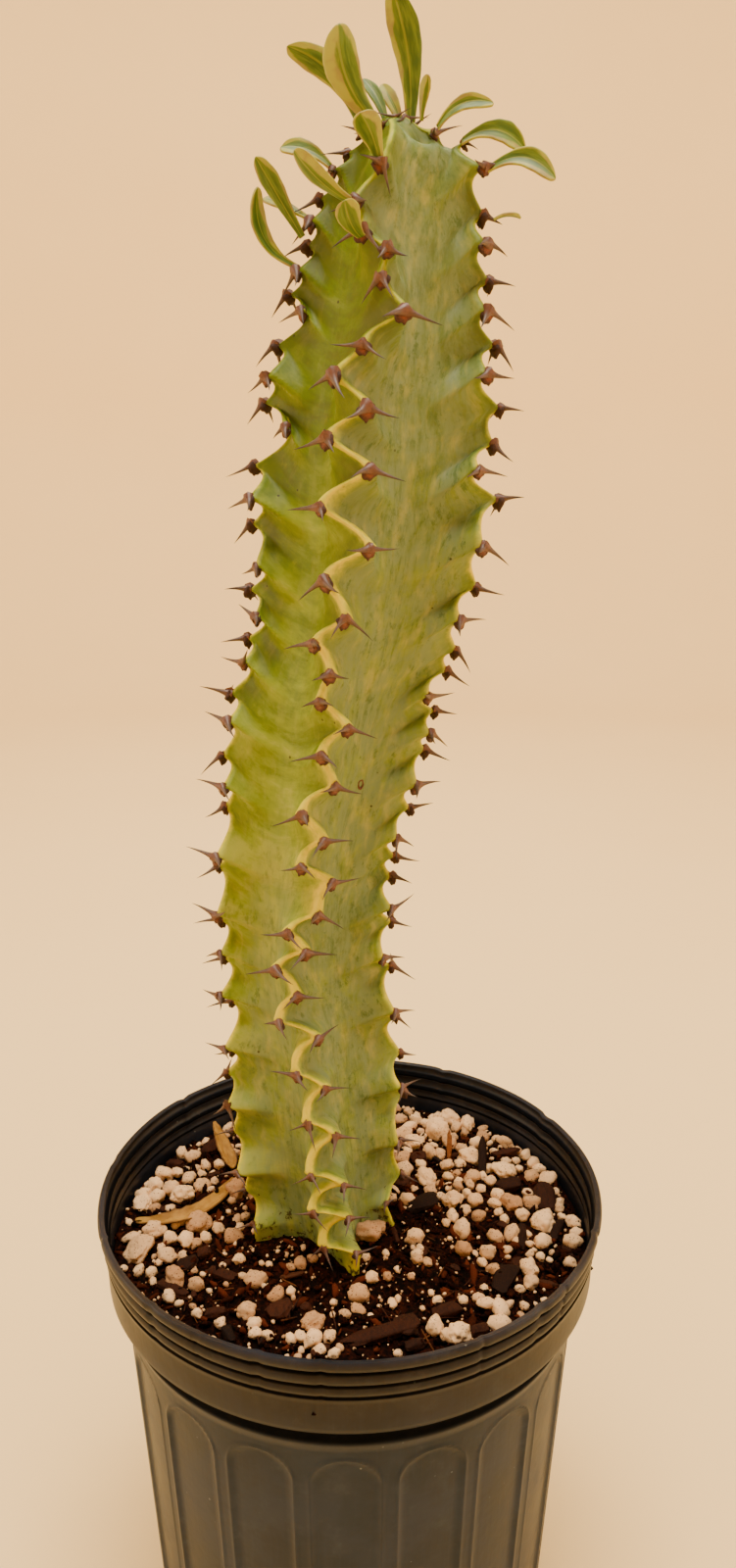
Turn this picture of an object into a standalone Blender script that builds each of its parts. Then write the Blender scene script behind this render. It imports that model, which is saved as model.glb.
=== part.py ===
"""A variegated Euphorbia ammak, one ribbed stem with its spines and young leaves, in a nursery pot.

Every size below is in millimetres and every angle in degrees; MM turns a size into Blender's metres.
Heights are measured from the floor. The origin is the centre of the pot's base, and -Y is the front.
"""

import math
import random

import bmesh
import bpy
from mathutils import Matrix, Vector, noise
from mathutils.bvhtree import BVHTree

MM = 0.001
GAP = 0.35

# Pot: a blow-moulded black nursery pot of one trade gallon
POT_HEIGHT = 165.0
POT_WALL = 1.5
TURN_STEPS = 36
FRONT_PANEL_TURN = -91.3
RIM_PROFILE = (
    (81.7, 0.0),
    (82.5, 1.2),
    (82.3, 3.0),
    (80.7, 4.2),
    (81.6, 6.0),
    (81.4, 8.0),
    (80.3, 9.2),
    (80.8, 11.5),
    (80.2, 15.5),
    (79.9, 25.5),
    (75.9, 29.0),
    (75.7, 33.0),
    (74.3, 37.0),
)
BASE_RADIUS = 66.9
BASE_ROUND = 1.5
PANEL_COUNT = 18
PANEL_HALF_ANGLE = 8.0
PANEL_ARCH = 9.6
PANEL_TOP = 40.5
PANEL_BOTTOM = 14.0
PANEL_DEPTH = 0.85
ARCH_COLUMNS = 7
DRAIN_COUNT = 5
DRAIN_SIDES = 12
DRAIN_CUT = 6.0
DRAIN_RADIUS = 5.5
DRAIN_CIRCLE = 44.0

# Soil: it fills the pot to a little below the rim and is lower at the wall
SOIL_SIDE = ((78.0, 146.2), (78.0, 141.0), (73.3, 136.6), (72.1, 128.0), (64.9, 3.2), (62.5, 1.9))
SOIL_TOP = ((0.0, 150.0), (14.0, 150.3), (28.0, 150.2), (40.0, 149.6), (54.0, 148.6), (67.0, 147.4))
SOIL_ROUGHNESS = 1.1
SOIL_GRAIN = 17.0
SOIL_CALM_EDGE = 12.0

# Granules of perlite and chips of bark, sunk in the soil's surface
PERLITE_COUNT = 44
PERLITE_SIZES = (2.8, 5.6)
GRANULE_LIFT = 0.3
GRANULE_SQUASH = (1.0, 0.84, 0.78)
FOOT_GRANULE = ((7.4, -13.4), 4.4)
BARK_COUNT = 10
BARK_SIZES = ((7.0, 16.0), (4.0, 8.0), (2.6, 4.0))
BARK_LIFT = 0.5
BARK_TILT = 25.0
SCATTER_RADIUS = 75.0
SCATTER_CROWDING = 0.8
SPINE_ROOM = 33.0

# Stem: height, centre x, centre y, rib radius, twist of the four ribs, width of the crest's zigzag
STEM_STATIONS = (
    (134.0, -6.0, -1.2, 24.6, 9.0, 2.0),
    (150.0, -6.5, -1.2, 25.2, 9.0, 3.4),
    (162.0, -7.6, -1.0, 26.4, 8.0, 5.0),
    (185.0, -9.8, -0.5, 26.6, 6.5, 4.8),
    (215.0, -12.0, 0.2, 25.6, 2.0, 4.2),
    (245.0, -14.2, 0.8, 24.8, -4.0, 3.9),
    (275.0, -13.2, 1.0, 26.2, 4.0, 3.8),
    (305.0, -9.2, 0.6, 28.8, 3.0, 3.8),
    (328.0, -4.9, 0.0, 29.8, -1.0, 3.4),
    (345.0, 0.6, -0.4, 30.4, -9.0, 3.8),
    (370.0, 5.4, -0.6, 33.0, -13.0, 5.8),
    (390.0, 7.0, -0.4, 33.8, -13.0, 6.2),
    (410.0, 8.4, 0.0, 31.6, -13.0, 5.4),
    (430.0, 10.6, 0.4, 28.2, -11.0, 3.8),
    (448.0, 12.6, 0.8, 25.8, -15.0, 2.8),
    (462.0, 14.0, 1.0, 22.8, -17.0, 2.0),
    (471.0, 14.6, 1.0, 18.6, -18.0, 1.4),
    (476.5, 13.4, 1.0, 13.0, -18.0, 0.8),
    (480.0, 12.4, 1.0, 8.6, -18.0, 0.3),
)
RIB_TURNS = (-90.0, 0.0, 90.0, 180.0)
RIB_PHASES = (0.0, 0.42, 0.18, -0.3)
FOOT_BOTTOM = 135.0
FOOT_TOP = 151.6
LOWEST_AREOLE = 156.0
AREOLE_PITCH = 7.72
AREOLES_PER_RIB = 42
PAIR_SHIFT = ((150.0, 2.3), (240.0, 1.6), (290.0, 0.4), (480.0, 0.0))
AREOLE_JITTER = 0.7
TOOTH_HEIGHT = 1.5
NOTCH_DEPTH = 1.0
CREST_HALF_WIDTH = 1.5
FULL_RELIEF_RADIUS = 20.0
FLANK_PLACE = 0.66
FLANK_HALF_WIDTH = 0.19
FLANK_LEAN = 0.3
VALLEY_PLACE = 0.47
STEM_TIP = 482.0
TIP_CAP = 2.5
HOLE_ROOM = 0.75
HOLE_REACH = 6.0

# How far the front rib strays sideways from the others' twist: height, distance to the right
FRONT_SWAY = (
    (150.0, 0.0),
    (232.0, 0.0),
    (244.0, -2.4),
    (262.0, -1.2),
    (276.0, 3.0),
    (290.0, 0.0),
    (320.0, 1.6),
    (342.0, -2.2),
    (360.0, 0.0),
    (401.0, -0.3),
    (417.0, -2.3),
    (433.0, 4.6),
    (441.0, 4.4),
    (452.0, -2.5),
    (462.0, -3.0),
    (475.0, 0.0),
)
OTHER_SWAY = 1.5
OTHER_SWAY_PERIOD = 118.0

# Spines: an areole carries one diverging pair with a shared root, and every third one here is bare
BARE_AREOLE_STEP = 3
SPINE_LENGTH = (7.6, 9.8)
SPINE_ROOT = 1.0
SPINE_DEPTH = 0.9
SPINE_SPREAD = 66.0
SPINE_DROOP = 7.0
BARE_TIP_AREOLES = 1

# Leaves: rib, height and sideways place of the base, reach to the right, forward and up, bow, width, roll
LEAVES = (
    (2, 486.0, -2.5, -3.5, 6.0, 29.2, 3.0, 9.4, 30.0),
    (0, 477.0, -1.2, -9.6, 5.0, 20.5, -3.2, 10.0, 65.0),
    (3, 480.5, 1.0, -18.5, 4.0, 17.0, 3.5, 7.4, 70.0),
    (0, 467.2, 2.4, -5.0, 8.0, 8.8, 1.0, 7.4, 30.0),
    (2, 483.5, 9.6, -6.7, -6.0, 13.4, 1.4, 4.6, -40.0),
    (2, 481.5, 1.6, -5.4, -4.0, 11.5, 0.5, 4.6, -50.0),
    (1, 481.5, 0.0, 1.9, 3.0, 9.8, 0.8, 4.2, 50.0),
    (1, 478.2, -1.0, 14.2, 0.0, 6.0, 3.0, 5.0, 35.0),
    (1, 475.5, 0.0, 16.8, -1.5, -2.6, 3.8, 7.0, 50.0),
    (1, 467.7, 0.0, 17.6, 7.0, -3.0, 4.4, 6.4, 35.0),
    (1, 456.4, 0.0, 7.0, 0.0, 0.4, 0.8, 3.0, 0.0),
    (3, 471.0, 0.0, -13.5, -2.0, 4.8, 1.8, 6.0, -60.0),
    (0, 457.2, -0.6, -14.7, 5.0, 10.7, -1.4, 6.0, 30.0),
    (0, 448.4, -0.9, -4.0, 6.0, 7.1, -1.4, 6.6, 25.0),
    (3, 453.6, 0.6, -12.2, 3.0, 18.9, 0.0, 5.8, 55.0),
    (3, 458.5, 0.8, -12.7, -5.0, 5.8, 0.4, 4.4, -40.0),
    (3, 446.2, 0.0, -11.2, 3.0, 19.3, -5.0, 6.0, -42.0),
    (2, 468.0, 0.0, 4.0, -17.0, 11.0, 4.0, 7.0, 0.0),
    (2, 458.0, 0.0, -5.0, -16.0, 10.0, 3.0, 6.4, 0.0),
    (2, 444.0, 1.5, 3.0, -14.0, 7.0, 1.5, 5.4, 0.0),
)
LEAF_THICKNESS = 0.8
LEAF_STATIONS = (0.0, 0.25, 0.5, 0.7, 0.87, 1.0)
LEAF_CHANNEL = 0.14
SEAT_TRAVEL = 9.0
SEAT_STEP = 0.1

# Dry leaves: the points of each one's midrib, as x, y and height above the soil, and its width
DRY_LEAVES = {
    "dry_leaf_long": (
        ((-73.0, 3.0, 0.9), (-63.0, -1.0, 2.4), (-53.5, 0.5, 2.8), (-45.5, 10.0, 1.8), (-41.0, 24.0, 0.9)),
        7.0,
    ),
    "dry_leaf_curled": (
        ((-42.0, 30.0, 0.9), (-43.5, 34.5, 1.4), (-47.0, 40.0, 5.5), (-50.0, 44.5, 12.0)),
        5.6,
    ),
}
DRY_LEAF_THICKNESS = 0.7
DRY_LEAF_STATIONS = 9
DRY_LEAF_CURL = 0.35

COLOURS = {
    "pot": ((0.030, 0.027, 0.024), 0.42),
    "soil": ((0.035, 0.022, 0.016), 0.95),
    "stem": ((0.330, 0.340, 0.085), 0.5),
    "leaf": ((0.300, 0.380, 0.090), 0.45),
    "dry_leaf": ((0.480, 0.300, 0.110), 0.7),
}


def between(table, place, column=1):
    """Reads a column of a table at a place along its first column, on a smooth curve."""
    if place <= table[0][0]:
        return table[0][column]
    for index in range(len(table) - 1):
        low, high = table[index], table[index + 1]
        if place > high[0]:
            continue
        before = table[max(index - 1, 0)]
        after = table[min(index + 2, len(table) - 1)]
        span = high[0] - low[0]
        share = (place - low[0]) / span
        start = (high[column] - before[column]) / max(high[0] - before[0], 1e-6) * span
        end = (after[column] - low[column]) / max(after[0] - low[0], 1e-6) * span
        square, cube = share * share, share * share * share
        return (
            (2 * cube - 3 * square + 1) * low[column]
            + (cube - 2 * square + share) * start
            + (3 * square - 2 * cube) * high[column]
            + (cube - square) * end
        )
    return table[-1][column]


def clear_scene():
    for obj in list(bpy.data.objects):
        bpy.data.objects.remove(obj)


def new_collection(name):
    collection = bpy.data.collections.new(name)
    bpy.context.scene.collection.children.link(collection)
    return collection


def material(name, finish):
    """A plain Principled material with the colour and roughness of one finish."""
    colour, roughness = COLOURS[finish]
    made = bpy.data.materials.new(name)
    made.use_nodes = True
    shader = made.node_tree.nodes["Principled BSDF"]
    shader.inputs["Base Color"].default_value = (*colour, 1.0)
    shader.inputs["Roughness"].default_value = roughness
    shader.inputs["Metallic"].default_value = 0.0
    made.diffuse_color = (*colour, 1.0)
    return made


def new_object(name, mesh, collection, finish=None):
    obj = bpy.data.objects.new(name, mesh)
    collection.objects.link(obj)
    if finish:
        mesh.materials.append(material(name, finish))
    return obj


def mesh_from(name, points, faces):
    """A mesh of points in millimetres, with its faces turned outwards."""
    mesh = bpy.data.meshes.new(name)
    mesh.from_pydata([tuple(value * MM for value in point) for point in points], [], faces)
    shape = bmesh.new()
    shape.from_mesh(mesh)
    bmesh.ops.recalc_face_normals(shape, faces=shape.faces)
    shape.to_mesh(mesh)
    shape.free()
    return mesh


def shade_round(obj, angle=40.0):
    obj.data.shade_smooth()
    obj.data.set_sharp_from_angle(angle=math.radians(angle))


def as_cutter(obj):
    obj.hide_render = True
    obj.display_type = "WIRE"
    return obj


def boolean(obj, operation, collection, solver="EXACT"):
    modifier = obj.modifiers.new(operation.lower(), "BOOLEAN")
    modifier.operation = operation
    modifier.operand_type = "COLLECTION"
    modifier.collection = collection
    modifier.solver = solver
    return modifier


def bake_modifiers(obj):
    """Puts an object's evaluated shape in its mesh, and takes its modifiers away."""
    graph = bpy.context.evaluated_depsgraph_get()
    baked = bpy.data.meshes.new_from_object(obj.evaluated_get(graph))
    obj.modifiers.clear()
    obj.data = baked


def remove_objects_of(collection):
    for obj in list(collection.objects):
        bpy.data.objects.remove(obj)
    bpy.data.collections.remove(collection)


def turned(name, profile, collection, finish):
    """A profile of radius and height, given down its outer side, turned round the vertical axis."""
    mesh = bpy.data.meshes.new(name)
    start = math.radians(FRONT_PANEL_TURN)
    across = Vector((math.cos(start), math.sin(start), 0.0))
    points = [across * radius * MM + Vector((0.0, 0.0, height * MM)) for radius, height in profile]
    mesh.from_pydata(points, [(i, i + 1) for i in range(len(points) - 1)], [])
    obj = new_object(name, mesh, collection, finish)
    screw = obj.modifiers.new("turn", "SCREW")
    screw.steps = TURN_STEPS
    screw.render_steps = TURN_STEPS
    screw.use_merge_vertices = True
    screw.merge_threshold = 1e-5
    screw.use_smooth_shade = True
    return obj


def wall_radius(height):
    """The pot's outer radius on its plain tapered wall."""
    top_radius, top_drop = RIM_PROFILE[-1]
    share = height / (POT_HEIGHT - top_drop)
    return BASE_RADIUS + (top_radius - BASE_RADIUS) * share


def panel_cutter(turn, collection):
    """One arched recess between two ribs of the pot's wall, as a curved slab."""
    points = []
    spring = POT_HEIGHT - PANEL_TOP - PANEL_ARCH
    for column in range(ARCH_COLUMNS):
        arch = math.pi * column / (ARCH_COLUMNS - 1)
        angle = math.radians(turn + PANEL_HALF_ANGLE * math.cos(arch))
        for height in (PANEL_BOTTOM, spring + PANEL_ARCH * math.sin(arch)):
            facet = wall_radius(height) * math.cos(math.pi / TURN_STEPS)
            for radius in (facet - PANEL_DEPTH, facet + 4 * PANEL_DEPTH):
                points.append((radius * math.cos(angle), radius * math.sin(angle), height))
    faces = []
    for column in range(ARCH_COLUMNS - 1):
        a, b = 4 * column, 4 * column + 4
        faces += [(a, b, b + 2, a + 2), (a + 1, a + 3, b + 3, b + 1)]
        faces += [(a, a + 1, b + 1, b), (a + 2, b + 2, b + 3, a + 3)]
    last = 4 * (ARCH_COLUMNS - 1)
    faces += [(0, 2, 3, 1), (last, last + 1, last + 3, last + 2)]
    name = f"panel_cutter_{round(turn) % 360:03d}"
    return as_cutter(new_object(name, mesh_from(name, points, faces), collection))


def drain_cutter(turn, collection):
    shape = bmesh.new()
    bmesh.ops.create_cone(
        shape,
        cap_ends=True,
        segments=DRAIN_SIDES,
        radius1=DRAIN_RADIUS * MM,
        radius2=DRAIN_RADIUS * MM,
        depth=DRAIN_CUT * MM,
    )
    mesh = bpy.data.meshes.new("drain_cutter")
    shape.to_mesh(mesh)
    shape.free()
    obj = new_object(f"drain_cutter_{turn:03.0f}", mesh, collection)
    angle = math.radians(turn)
    obj.location = (DRAIN_CIRCLE * MM * math.cos(angle), DRAIN_CIRCLE * MM * math.sin(angle), 0.0)
    return as_cutter(obj)


def make_pot(collection, cutters):
    """The thin-walled pot: stepped rim, tapered wall with arched panels, base with drain holes."""
    profile = [(radius, POT_HEIGHT - drop) for radius, drop in RIM_PROFILE]
    profile += [(BASE_RADIUS, BASE_ROUND), (BASE_RADIUS - BASE_ROUND, 0.0), (0.0, 0.0)]
    pot = turned("pot", profile, collection, "pot")
    shell = pot.modifiers.new("wall", "SOLIDIFY")
    shell.thickness = POT_WALL * MM
    shell.offset = -1.0
    for index in range(PANEL_COUNT):
        panel_cutter(FRONT_PANEL_TURN + index * 360.0 / PANEL_COUNT, cutters)
    for index in range(DRAIN_COUNT):
        drain_cutter(index * 360.0 / DRAIN_COUNT + 90.0, cutters)
    boolean(pot, "DIFFERENCE", cutters)
    return pot


def stem_frame(height):
    """The stem's centre, rib radius, twist and zigzag at one height."""
    centre = Vector((between(STEM_STATIONS, height, 1), between(STEM_STATIONS, height, 2), height))
    return centre, *(between(STEM_STATIONS, height, column) for column in (3, 4, 5))


def sway(rib, height):
    """How far one rib's crest strays sideways at a height: to the right on the front rib."""
    if rib == 0:
        return between(FRONT_SWAY, height)
    return OTHER_SWAY * math.sin(2 * math.pi * (height / OTHER_SWAY_PERIOD + rib / 3))


def rib_point(rib, height, out, side):
    """A point at a distance out from the stem's axis along one rib, moved sideways across it."""
    centre, radius, twist, _ = stem_frame(height)
    angle = math.radians(RIB_TURNS[rib] + twist)
    outward = Vector((math.cos(angle), math.sin(angle), 0.0))
    sideways = Vector((-math.sin(angle), math.cos(angle), 0.0))
    return centre + outward * out + sideways * (side + sway(rib, height) * out / radius)


def areole_heights(rib):
    """Heights of one rib's areoles: left and right in turn, in closer pairs low on the stem."""
    chance = random.Random(40 + rib)
    heights = []
    for index in range(AREOLES_PER_RIB):
        phase = RIB_PHASES[rib] * (1 - index / AREOLES_PER_RIB)
        height = LOWEST_AREOLE + AREOLE_PITCH * (index + phase)
        shift = between(PAIR_SHIFT, height) * (1 if index % 2 else -1)
        heights.append(height - shift + chance.uniform(-AREOLE_JITTER, AREOLE_JITTER))
    return heights


def rib_rows(rib):
    """Rows of the loft along one rib: (height, radial step, zigzag side), a tooth at every areole."""
    heights = areole_heights(rib)
    sides = [1.0 if index % 2 else -1.0 for index in range(AREOLES_PER_RIB)]
    rows = [(FOOT_BOTTOM, 0.0, 0.0), (FOOT_TOP, 0.0, 0.0)]
    for index, height in enumerate(heights):
        if index:
            middle = (heights[index - 1] + height) / 2
            rows.append((middle, -NOTCH_DEPTH, 0.0))
        rows.append((height, TOOTH_HEIGHT, sides[index]))
    rows.append((STEM_TIP - TIP_CAP, 0.0, 0.0))
    return rows


def relief(radius):
    """Share of their full size that the teeth have where the stem is this wide."""
    return min(1.0, radius / FULL_RELIEF_RADIUS)


def stem_ring(marks):
    """One ring of the loft from each rib's mark: a flank, two crest edges, a flank, then a valley."""
    ring = []
    mean_height = sum(mark[0] for mark in marks) / len(marks)
    centre, mean_radius, twist, _ = stem_frame(mean_height)
    for rib, (height, step, side) in enumerate(marks):
        _, radius, _, zigzag = stem_frame(height)
        out = radius + step * relief(radius)
        width = CREST_HALF_WIDTH * relief(radius)
        flank_height = (height + mean_height) / 2
        flank_out = radius * FLANK_PLACE
        flank_width = radius * FLANK_HALF_WIDTH
        lean = side * zigzag
        ring.append(rib_point(rib, flank_height, flank_out, FLANK_LEAN * lean - flank_width))
        ring.append(rib_point(rib, height, out, lean - width))
        ring.append(rib_point(rib, height, out, lean + width))
        ring.append(rib_point(rib, flank_height, flank_out, FLANK_LEAN * lean + flank_width))
        angle = math.radians(RIB_TURNS[rib] + 45.0 + twist)
        valley = mean_radius * VALLEY_PLACE
        ring.append(centre + Vector((math.cos(angle), math.sin(angle), 0.0)) * valley)
    return ring


def stem_body():
    """The ribbed stem, lofted ring by ring from its foot in the soil to its tip."""
    rings = [stem_ring(marks) for marks in zip(*(rib_rows(rib) for rib in range(len(RIB_TURNS))))]
    count = len(rings[0])
    points = [point for ring in rings for point in ring]
    faces = []
    for level in range(len(rings) - 1):
        for place in range(count):
            low = level * count + place
            beside = level * count + (place + 1) % count
            faces.append((low, beside, beside + count, low + count))
    foot, tip = len(points), len(points) + 1
    top = (len(rings) - 1) * count
    foot_centre, tip_centre = stem_frame(FOOT_BOTTOM)[0], stem_frame(STEM_TIP)[0]
    points += [Vector((foot_centre.x, foot_centre.y, FOOT_BOTTOM)), tip_centre]
    for place in range(count):
        beside = (place + 1) % count
        faces.append((foot, beside, place))
        faces.append((tip, top + place, top + beside))
    return mesh_from("stem", points, faces)


def spine_pair(rib, height, side, chance, collection):
    """Two spines from one areole, as one slim double-ended solid whose middle is sunk in the tooth."""
    _, radius, twist, zigzag = stem_frame(height)
    out = radius + TOOTH_HEIGHT * relief(radius) - SPINE_DEPTH
    root = rib_point(rib, height, out, side * zigzag)
    angle = math.radians(RIB_TURNS[rib] + twist + chance.uniform(-7.0, 7.0))
    outward = Vector((math.cos(angle), math.sin(angle), 0.0))
    sideways = Vector((-math.sin(angle), math.cos(angle), 0.0))
    up = Vector((0.0, 0.0, 1.0))
    points = []
    for corner in range(3):
        turn = 2 * math.pi * corner / 3 + math.pi / 2
        points.append(root + (outward * math.cos(turn) + up * math.sin(turn)) * SPINE_ROOT)
    for way in (-1.0, 1.0):
        spread = math.radians(SPINE_SPREAD + chance.uniform(-9.0, 9.0))
        droop = math.radians(SPINE_DROOP + chance.uniform(-12.0, 12.0))
        flat = outward * math.cos(spread) + sideways * way * math.sin(spread)
        direction = flat * math.cos(droop) - up * math.sin(droop)
        points.append(root + direction * chance.uniform(*SPINE_LENGTH))
    faces = [(0, 1, 3), (1, 2, 3), (2, 0, 3), (1, 0, 4), (2, 1, 4), (0, 2, 4)]
    return new_object("spines", mesh_from("spines", points, faces), collection)


def make_stem(collection):
    """The stem with the spines of all its ribs joined to it."""
    stem = new_object("stem", stem_body(), collection, "stem")
    spines = new_collection("spines")
    for rib in range(len(RIB_TURNS)):
        chance = random.Random(7 + rib)
        for index, height in enumerate(areole_heights(rib)[:-BARE_TIP_AREOLES]):
            if (index - rib + 1) % BARE_AREOLE_STEP:
                spine_pair(rib, height, 1.0 if index % 2 else -1.0, chance, spines)
    boolean(stem, "UNION", spines, "MANIFOLD")
    bake_modifiers(stem)
    remove_objects_of(spines)
    return stem


def foot_cutter(collection):
    """The hole that the stem's buried foot stands in, wider than the foot by the gap all round."""
    points = []
    for ring_height, height in ((FOOT_BOTTOM, FOOT_BOTTOM - GAP), (FOOT_TOP, FOOT_TOP + HOLE_REACH)):
        ring = stem_ring([(ring_height, 0.0, 0.0)] * len(RIB_TURNS))
        count = len(ring)
        for place, point in enumerate(ring):
            along = ring[(place + 1) % count] - ring[place - 1]
            outward = Vector((along.y, -along.x, 0.0)).normalized()
            wide = point + outward * HOLE_ROOM
            points.append(Vector((wide.x, wide.y, height)))
    faces = [tuple(range(count)), tuple(range(count, 2 * count))]
    faces += [
        (place, (place + 1) % count, (place + 1) % count + count, place + count)
        for place in range(count)
    ]
    return as_cutter(new_object("foot_cutter", mesh_from("foot_cutter", points, faces), collection))


def soil_height(x, y):
    """Height of the soil's surface: level round the stem, lower at the wall, and lumpy."""
    out = math.hypot(x, y)
    lump = noise.noise(Vector((x, y, 5.0)) / SOIL_GRAIN)
    calm = min(1.0, max(0.0, (SOIL_SIDE[0][0] - out) / SOIL_CALM_EDGE))
    return between(SOIL_TOP + SOIL_SIDE[:1], out) + SOIL_ROUGHNESS * lump * calm


def near_dry_leaf(x, y, room):
    """True where a granule at this place would reach under a dry leaf."""
    for route, width in DRY_LEAVES.values():
        for index in range(len(route) - 1):
            start, end = Vector(route[index][:2]), Vector(route[index + 1][:2])
            share = (Vector((x, y)) - start).dot(end - start) / (end - start).length_squared
            nearest = start + (end - start) * min(1.0, max(0.0, share))
            if (Vector((x, y)) - nearest).length < room + width / 2 + GAP:
                return True
    return False


def granule(place, size, turn, collection):
    """One perlite granule: a squashed twenty-sided lump, half sunk in the soil."""
    shape = bmesh.new()
    bmesh.ops.create_icosphere(shape, subdivisions=1, radius=size * MM)
    mesh = bpy.data.meshes.new("granule")
    shape.to_mesh(mesh)
    shape.free()
    obj = new_object("granule", mesh, collection)
    lift = soil_height(*place) + GRANULE_LIFT * size
    squash = Matrix.Diagonal((*GRANULE_SQUASH, 1.0))
    spot = Matrix.Translation(Vector((place[0], place[1], lift)) * MM)
    mesh.transform(spot @ Matrix.Rotation(turn, 4, "Z") @ Matrix.Rotation(turn * 3, 4, "X") @ squash)
    return obj


def bark_chip(place, sizes, turn, tilt, collection):
    """One flat chip of bark, tilted and partly sunk in the soil."""
    shape = bmesh.new()
    bmesh.ops.create_cube(shape, size=MM)
    mesh = bpy.data.meshes.new("bark")
    shape.to_mesh(mesh)
    shape.free()
    obj = new_object("bark", mesh, collection)
    spot = Matrix.Translation(Vector((place[0], place[1], soil_height(*place) + BARK_LIFT)) * MM)
    lean = Matrix.Rotation(math.radians(tilt), 4, "X")
    mesh.transform(spot @ Matrix.Rotation(turn, 4, "Z") @ lean @ Matrix.Diagonal((*sizes, 1.0)))
    return obj


def scatter(count, sizes, chance, taken):
    """Places on the soil, clear of the stem's spines, of the dry leaves and of each other."""
    made = 0
    centre = stem_frame(FOOT_TOP)[0]
    for _ in range(40 * count):
        if made == count:
            return
        out = SCATTER_RADIUS * math.sqrt(chance.random())
        turn = chance.uniform(0.0, 2 * math.pi)
        place = (out * math.cos(turn), out * math.sin(turn))
        size = sizes[0] + (sizes[1] - sizes[0]) * chance.random() ** 1.6
        if math.hypot(place[0] - centre.x, place[1] - centre.y) < SPINE_ROOM + size:
            continue
        if out + size > SCATTER_RADIUS or near_dry_leaf(*place, size):
            continue
        if any(math.dist(place, other) < SCATTER_CROWDING * (size + room) for other, room in taken):
            continue
        taken.append((place, size))
        made += 1
        yield place, size, chance.uniform(0.0, math.pi)


def make_soil(collection, cutters):
    """The potting mix, with the hole of the stem's foot, perlite granules and bark chips."""
    profile = [*SOIL_TOP, *SOIL_SIDE, (0.0, SOIL_SIDE[-1][1])]
    soil = turned("soil", profile, collection, "soil")
    bake_modifiers(soil)
    for vertex in soil.data.vertices:
        x, y, z = vertex.co / MM
        if z > SOIL_SIDE[0][1] - 0.1:
            vertex.co.z = soil_height(x, y) * MM
    foot_cutter(cutters)
    boolean(soil, "DIFFERENCE", cutters)
    bake_modifiers(soil)
    chance = random.Random(12)
    lumps = new_collection("lumps")
    taken = []
    for place, size, turn in scatter(BARK_COUNT, PERLITE_SIZES, chance, taken):
        sizes = [chance.uniform(*span) for span in BARK_SIZES]
        bark_chip(place, sizes, turn, chance.uniform(-BARK_TILT, BARK_TILT), lumps)
    for place, size, turn in scatter(PERLITE_COUNT, PERLITE_SIZES, chance, taken):
        granule(place, size, turn, lumps)
    granule(*FOOT_GRANULE, 0.0, lumps)
    boolean(soil, "UNION", lumps)
    bake_modifiers(soil)
    remove_objects_of(lumps)
    return soil


def leaf_outline(share):
    """Half width of a spoon-shaped leaf along its length, as a share of its widest half."""
    if share < 0.64:
        swell = share / 0.64
        return 0.3 + 0.7 * swell * swell * (3 - 2 * swell)
    fall = (share - 0.64) / 0.36
    return max(0.09, (1 - fall * fall) ** 0.75)


def leaf_surface(name, start, reach, bow, width, roll, collection, finish):
    """A leaf blade as an open surface along a bowed midrib, channelled and given its thickness."""
    level = reach.cross(Vector((0.0, 0.0, 1.0))).normalized()
    arch = level.cross(reach).normalized()
    turn = Matrix.Rotation(math.radians(roll), 3, reach)
    side, face = turn @ level, turn @ arch
    points = []
    for share in LEAF_STATIONS:
        middle = start + reach * share + arch * bow * 4 * share * (1 - share)
        half = width / 2 * leaf_outline(share)
        lift = face * half * 2 * LEAF_CHANNEL
        points += [middle - side * half + lift, middle, middle + side * half + lift]
    faces = []
    for station in range(len(LEAF_STATIONS) - 1):
        low = 3 * station
        faces += [(low, low + 1, low + 4, low + 3), (low + 1, low + 2, low + 5, low + 4)]
    obj = new_object(name, mesh_from(name, points, faces), collection, finish)
    obj.modifiers.new("triangles", "TRIANGULATE")
    shell = obj.modifiers.new("thickness", "SOLIDIFY")
    shell.thickness = LEAF_THICKNESS * MM
    shell.offset = 0.0
    return obj


def evaluated_points(obj):
    graph = bpy.context.evaluated_depsgraph_get()
    return [vertex.co.copy() for vertex in obj.evaluated_get(graph).data.vertices]


def seat_leaf(leaf, stem_tree, outward):
    """Brings a leaf in along its own rib's outward direction until it is a gap off the stem."""
    points = evaluated_points(leaf)
    away = SEAT_TRAVEL
    while away > -SEAT_TRAVEL:
        offset = outward * (away - SEAT_STEP) * MM
        nearest = min(stem_tree.find_nearest(point + offset)[3] for point in points)
        if nearest < GAP * MM:
            break
        away -= SEAT_STEP
    for vertex in leaf.data.vertices:
        vertex.co += outward * away * MM


def make_leaves(collection, stem):
    """The young leaves near the tip, each from its own areole."""
    shape = bmesh.new()
    shape.from_mesh(stem.data)
    bmesh.ops.triangulate(shape, faces=shape.faces)
    stem_tree = BVHTree.FromBMesh(shape)
    shape.free()
    for index, (rib, height, across, right, forward, rise, bow, width, roll) in enumerate(LEAVES, 1):
        centre, radius, _, _ = stem_frame(height)
        start = rib_point(rib, height, radius, across)
        reach = Vector((right, -forward, rise))
        name = f"leaf_{index:02d}"
        leaf = leaf_surface(name, start, reach, bow, width, roll, collection, "leaf")
        outward = (start - centre).normalized() + reach.normalized()
        seat_leaf(leaf, stem_tree, outward.normalized())


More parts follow.
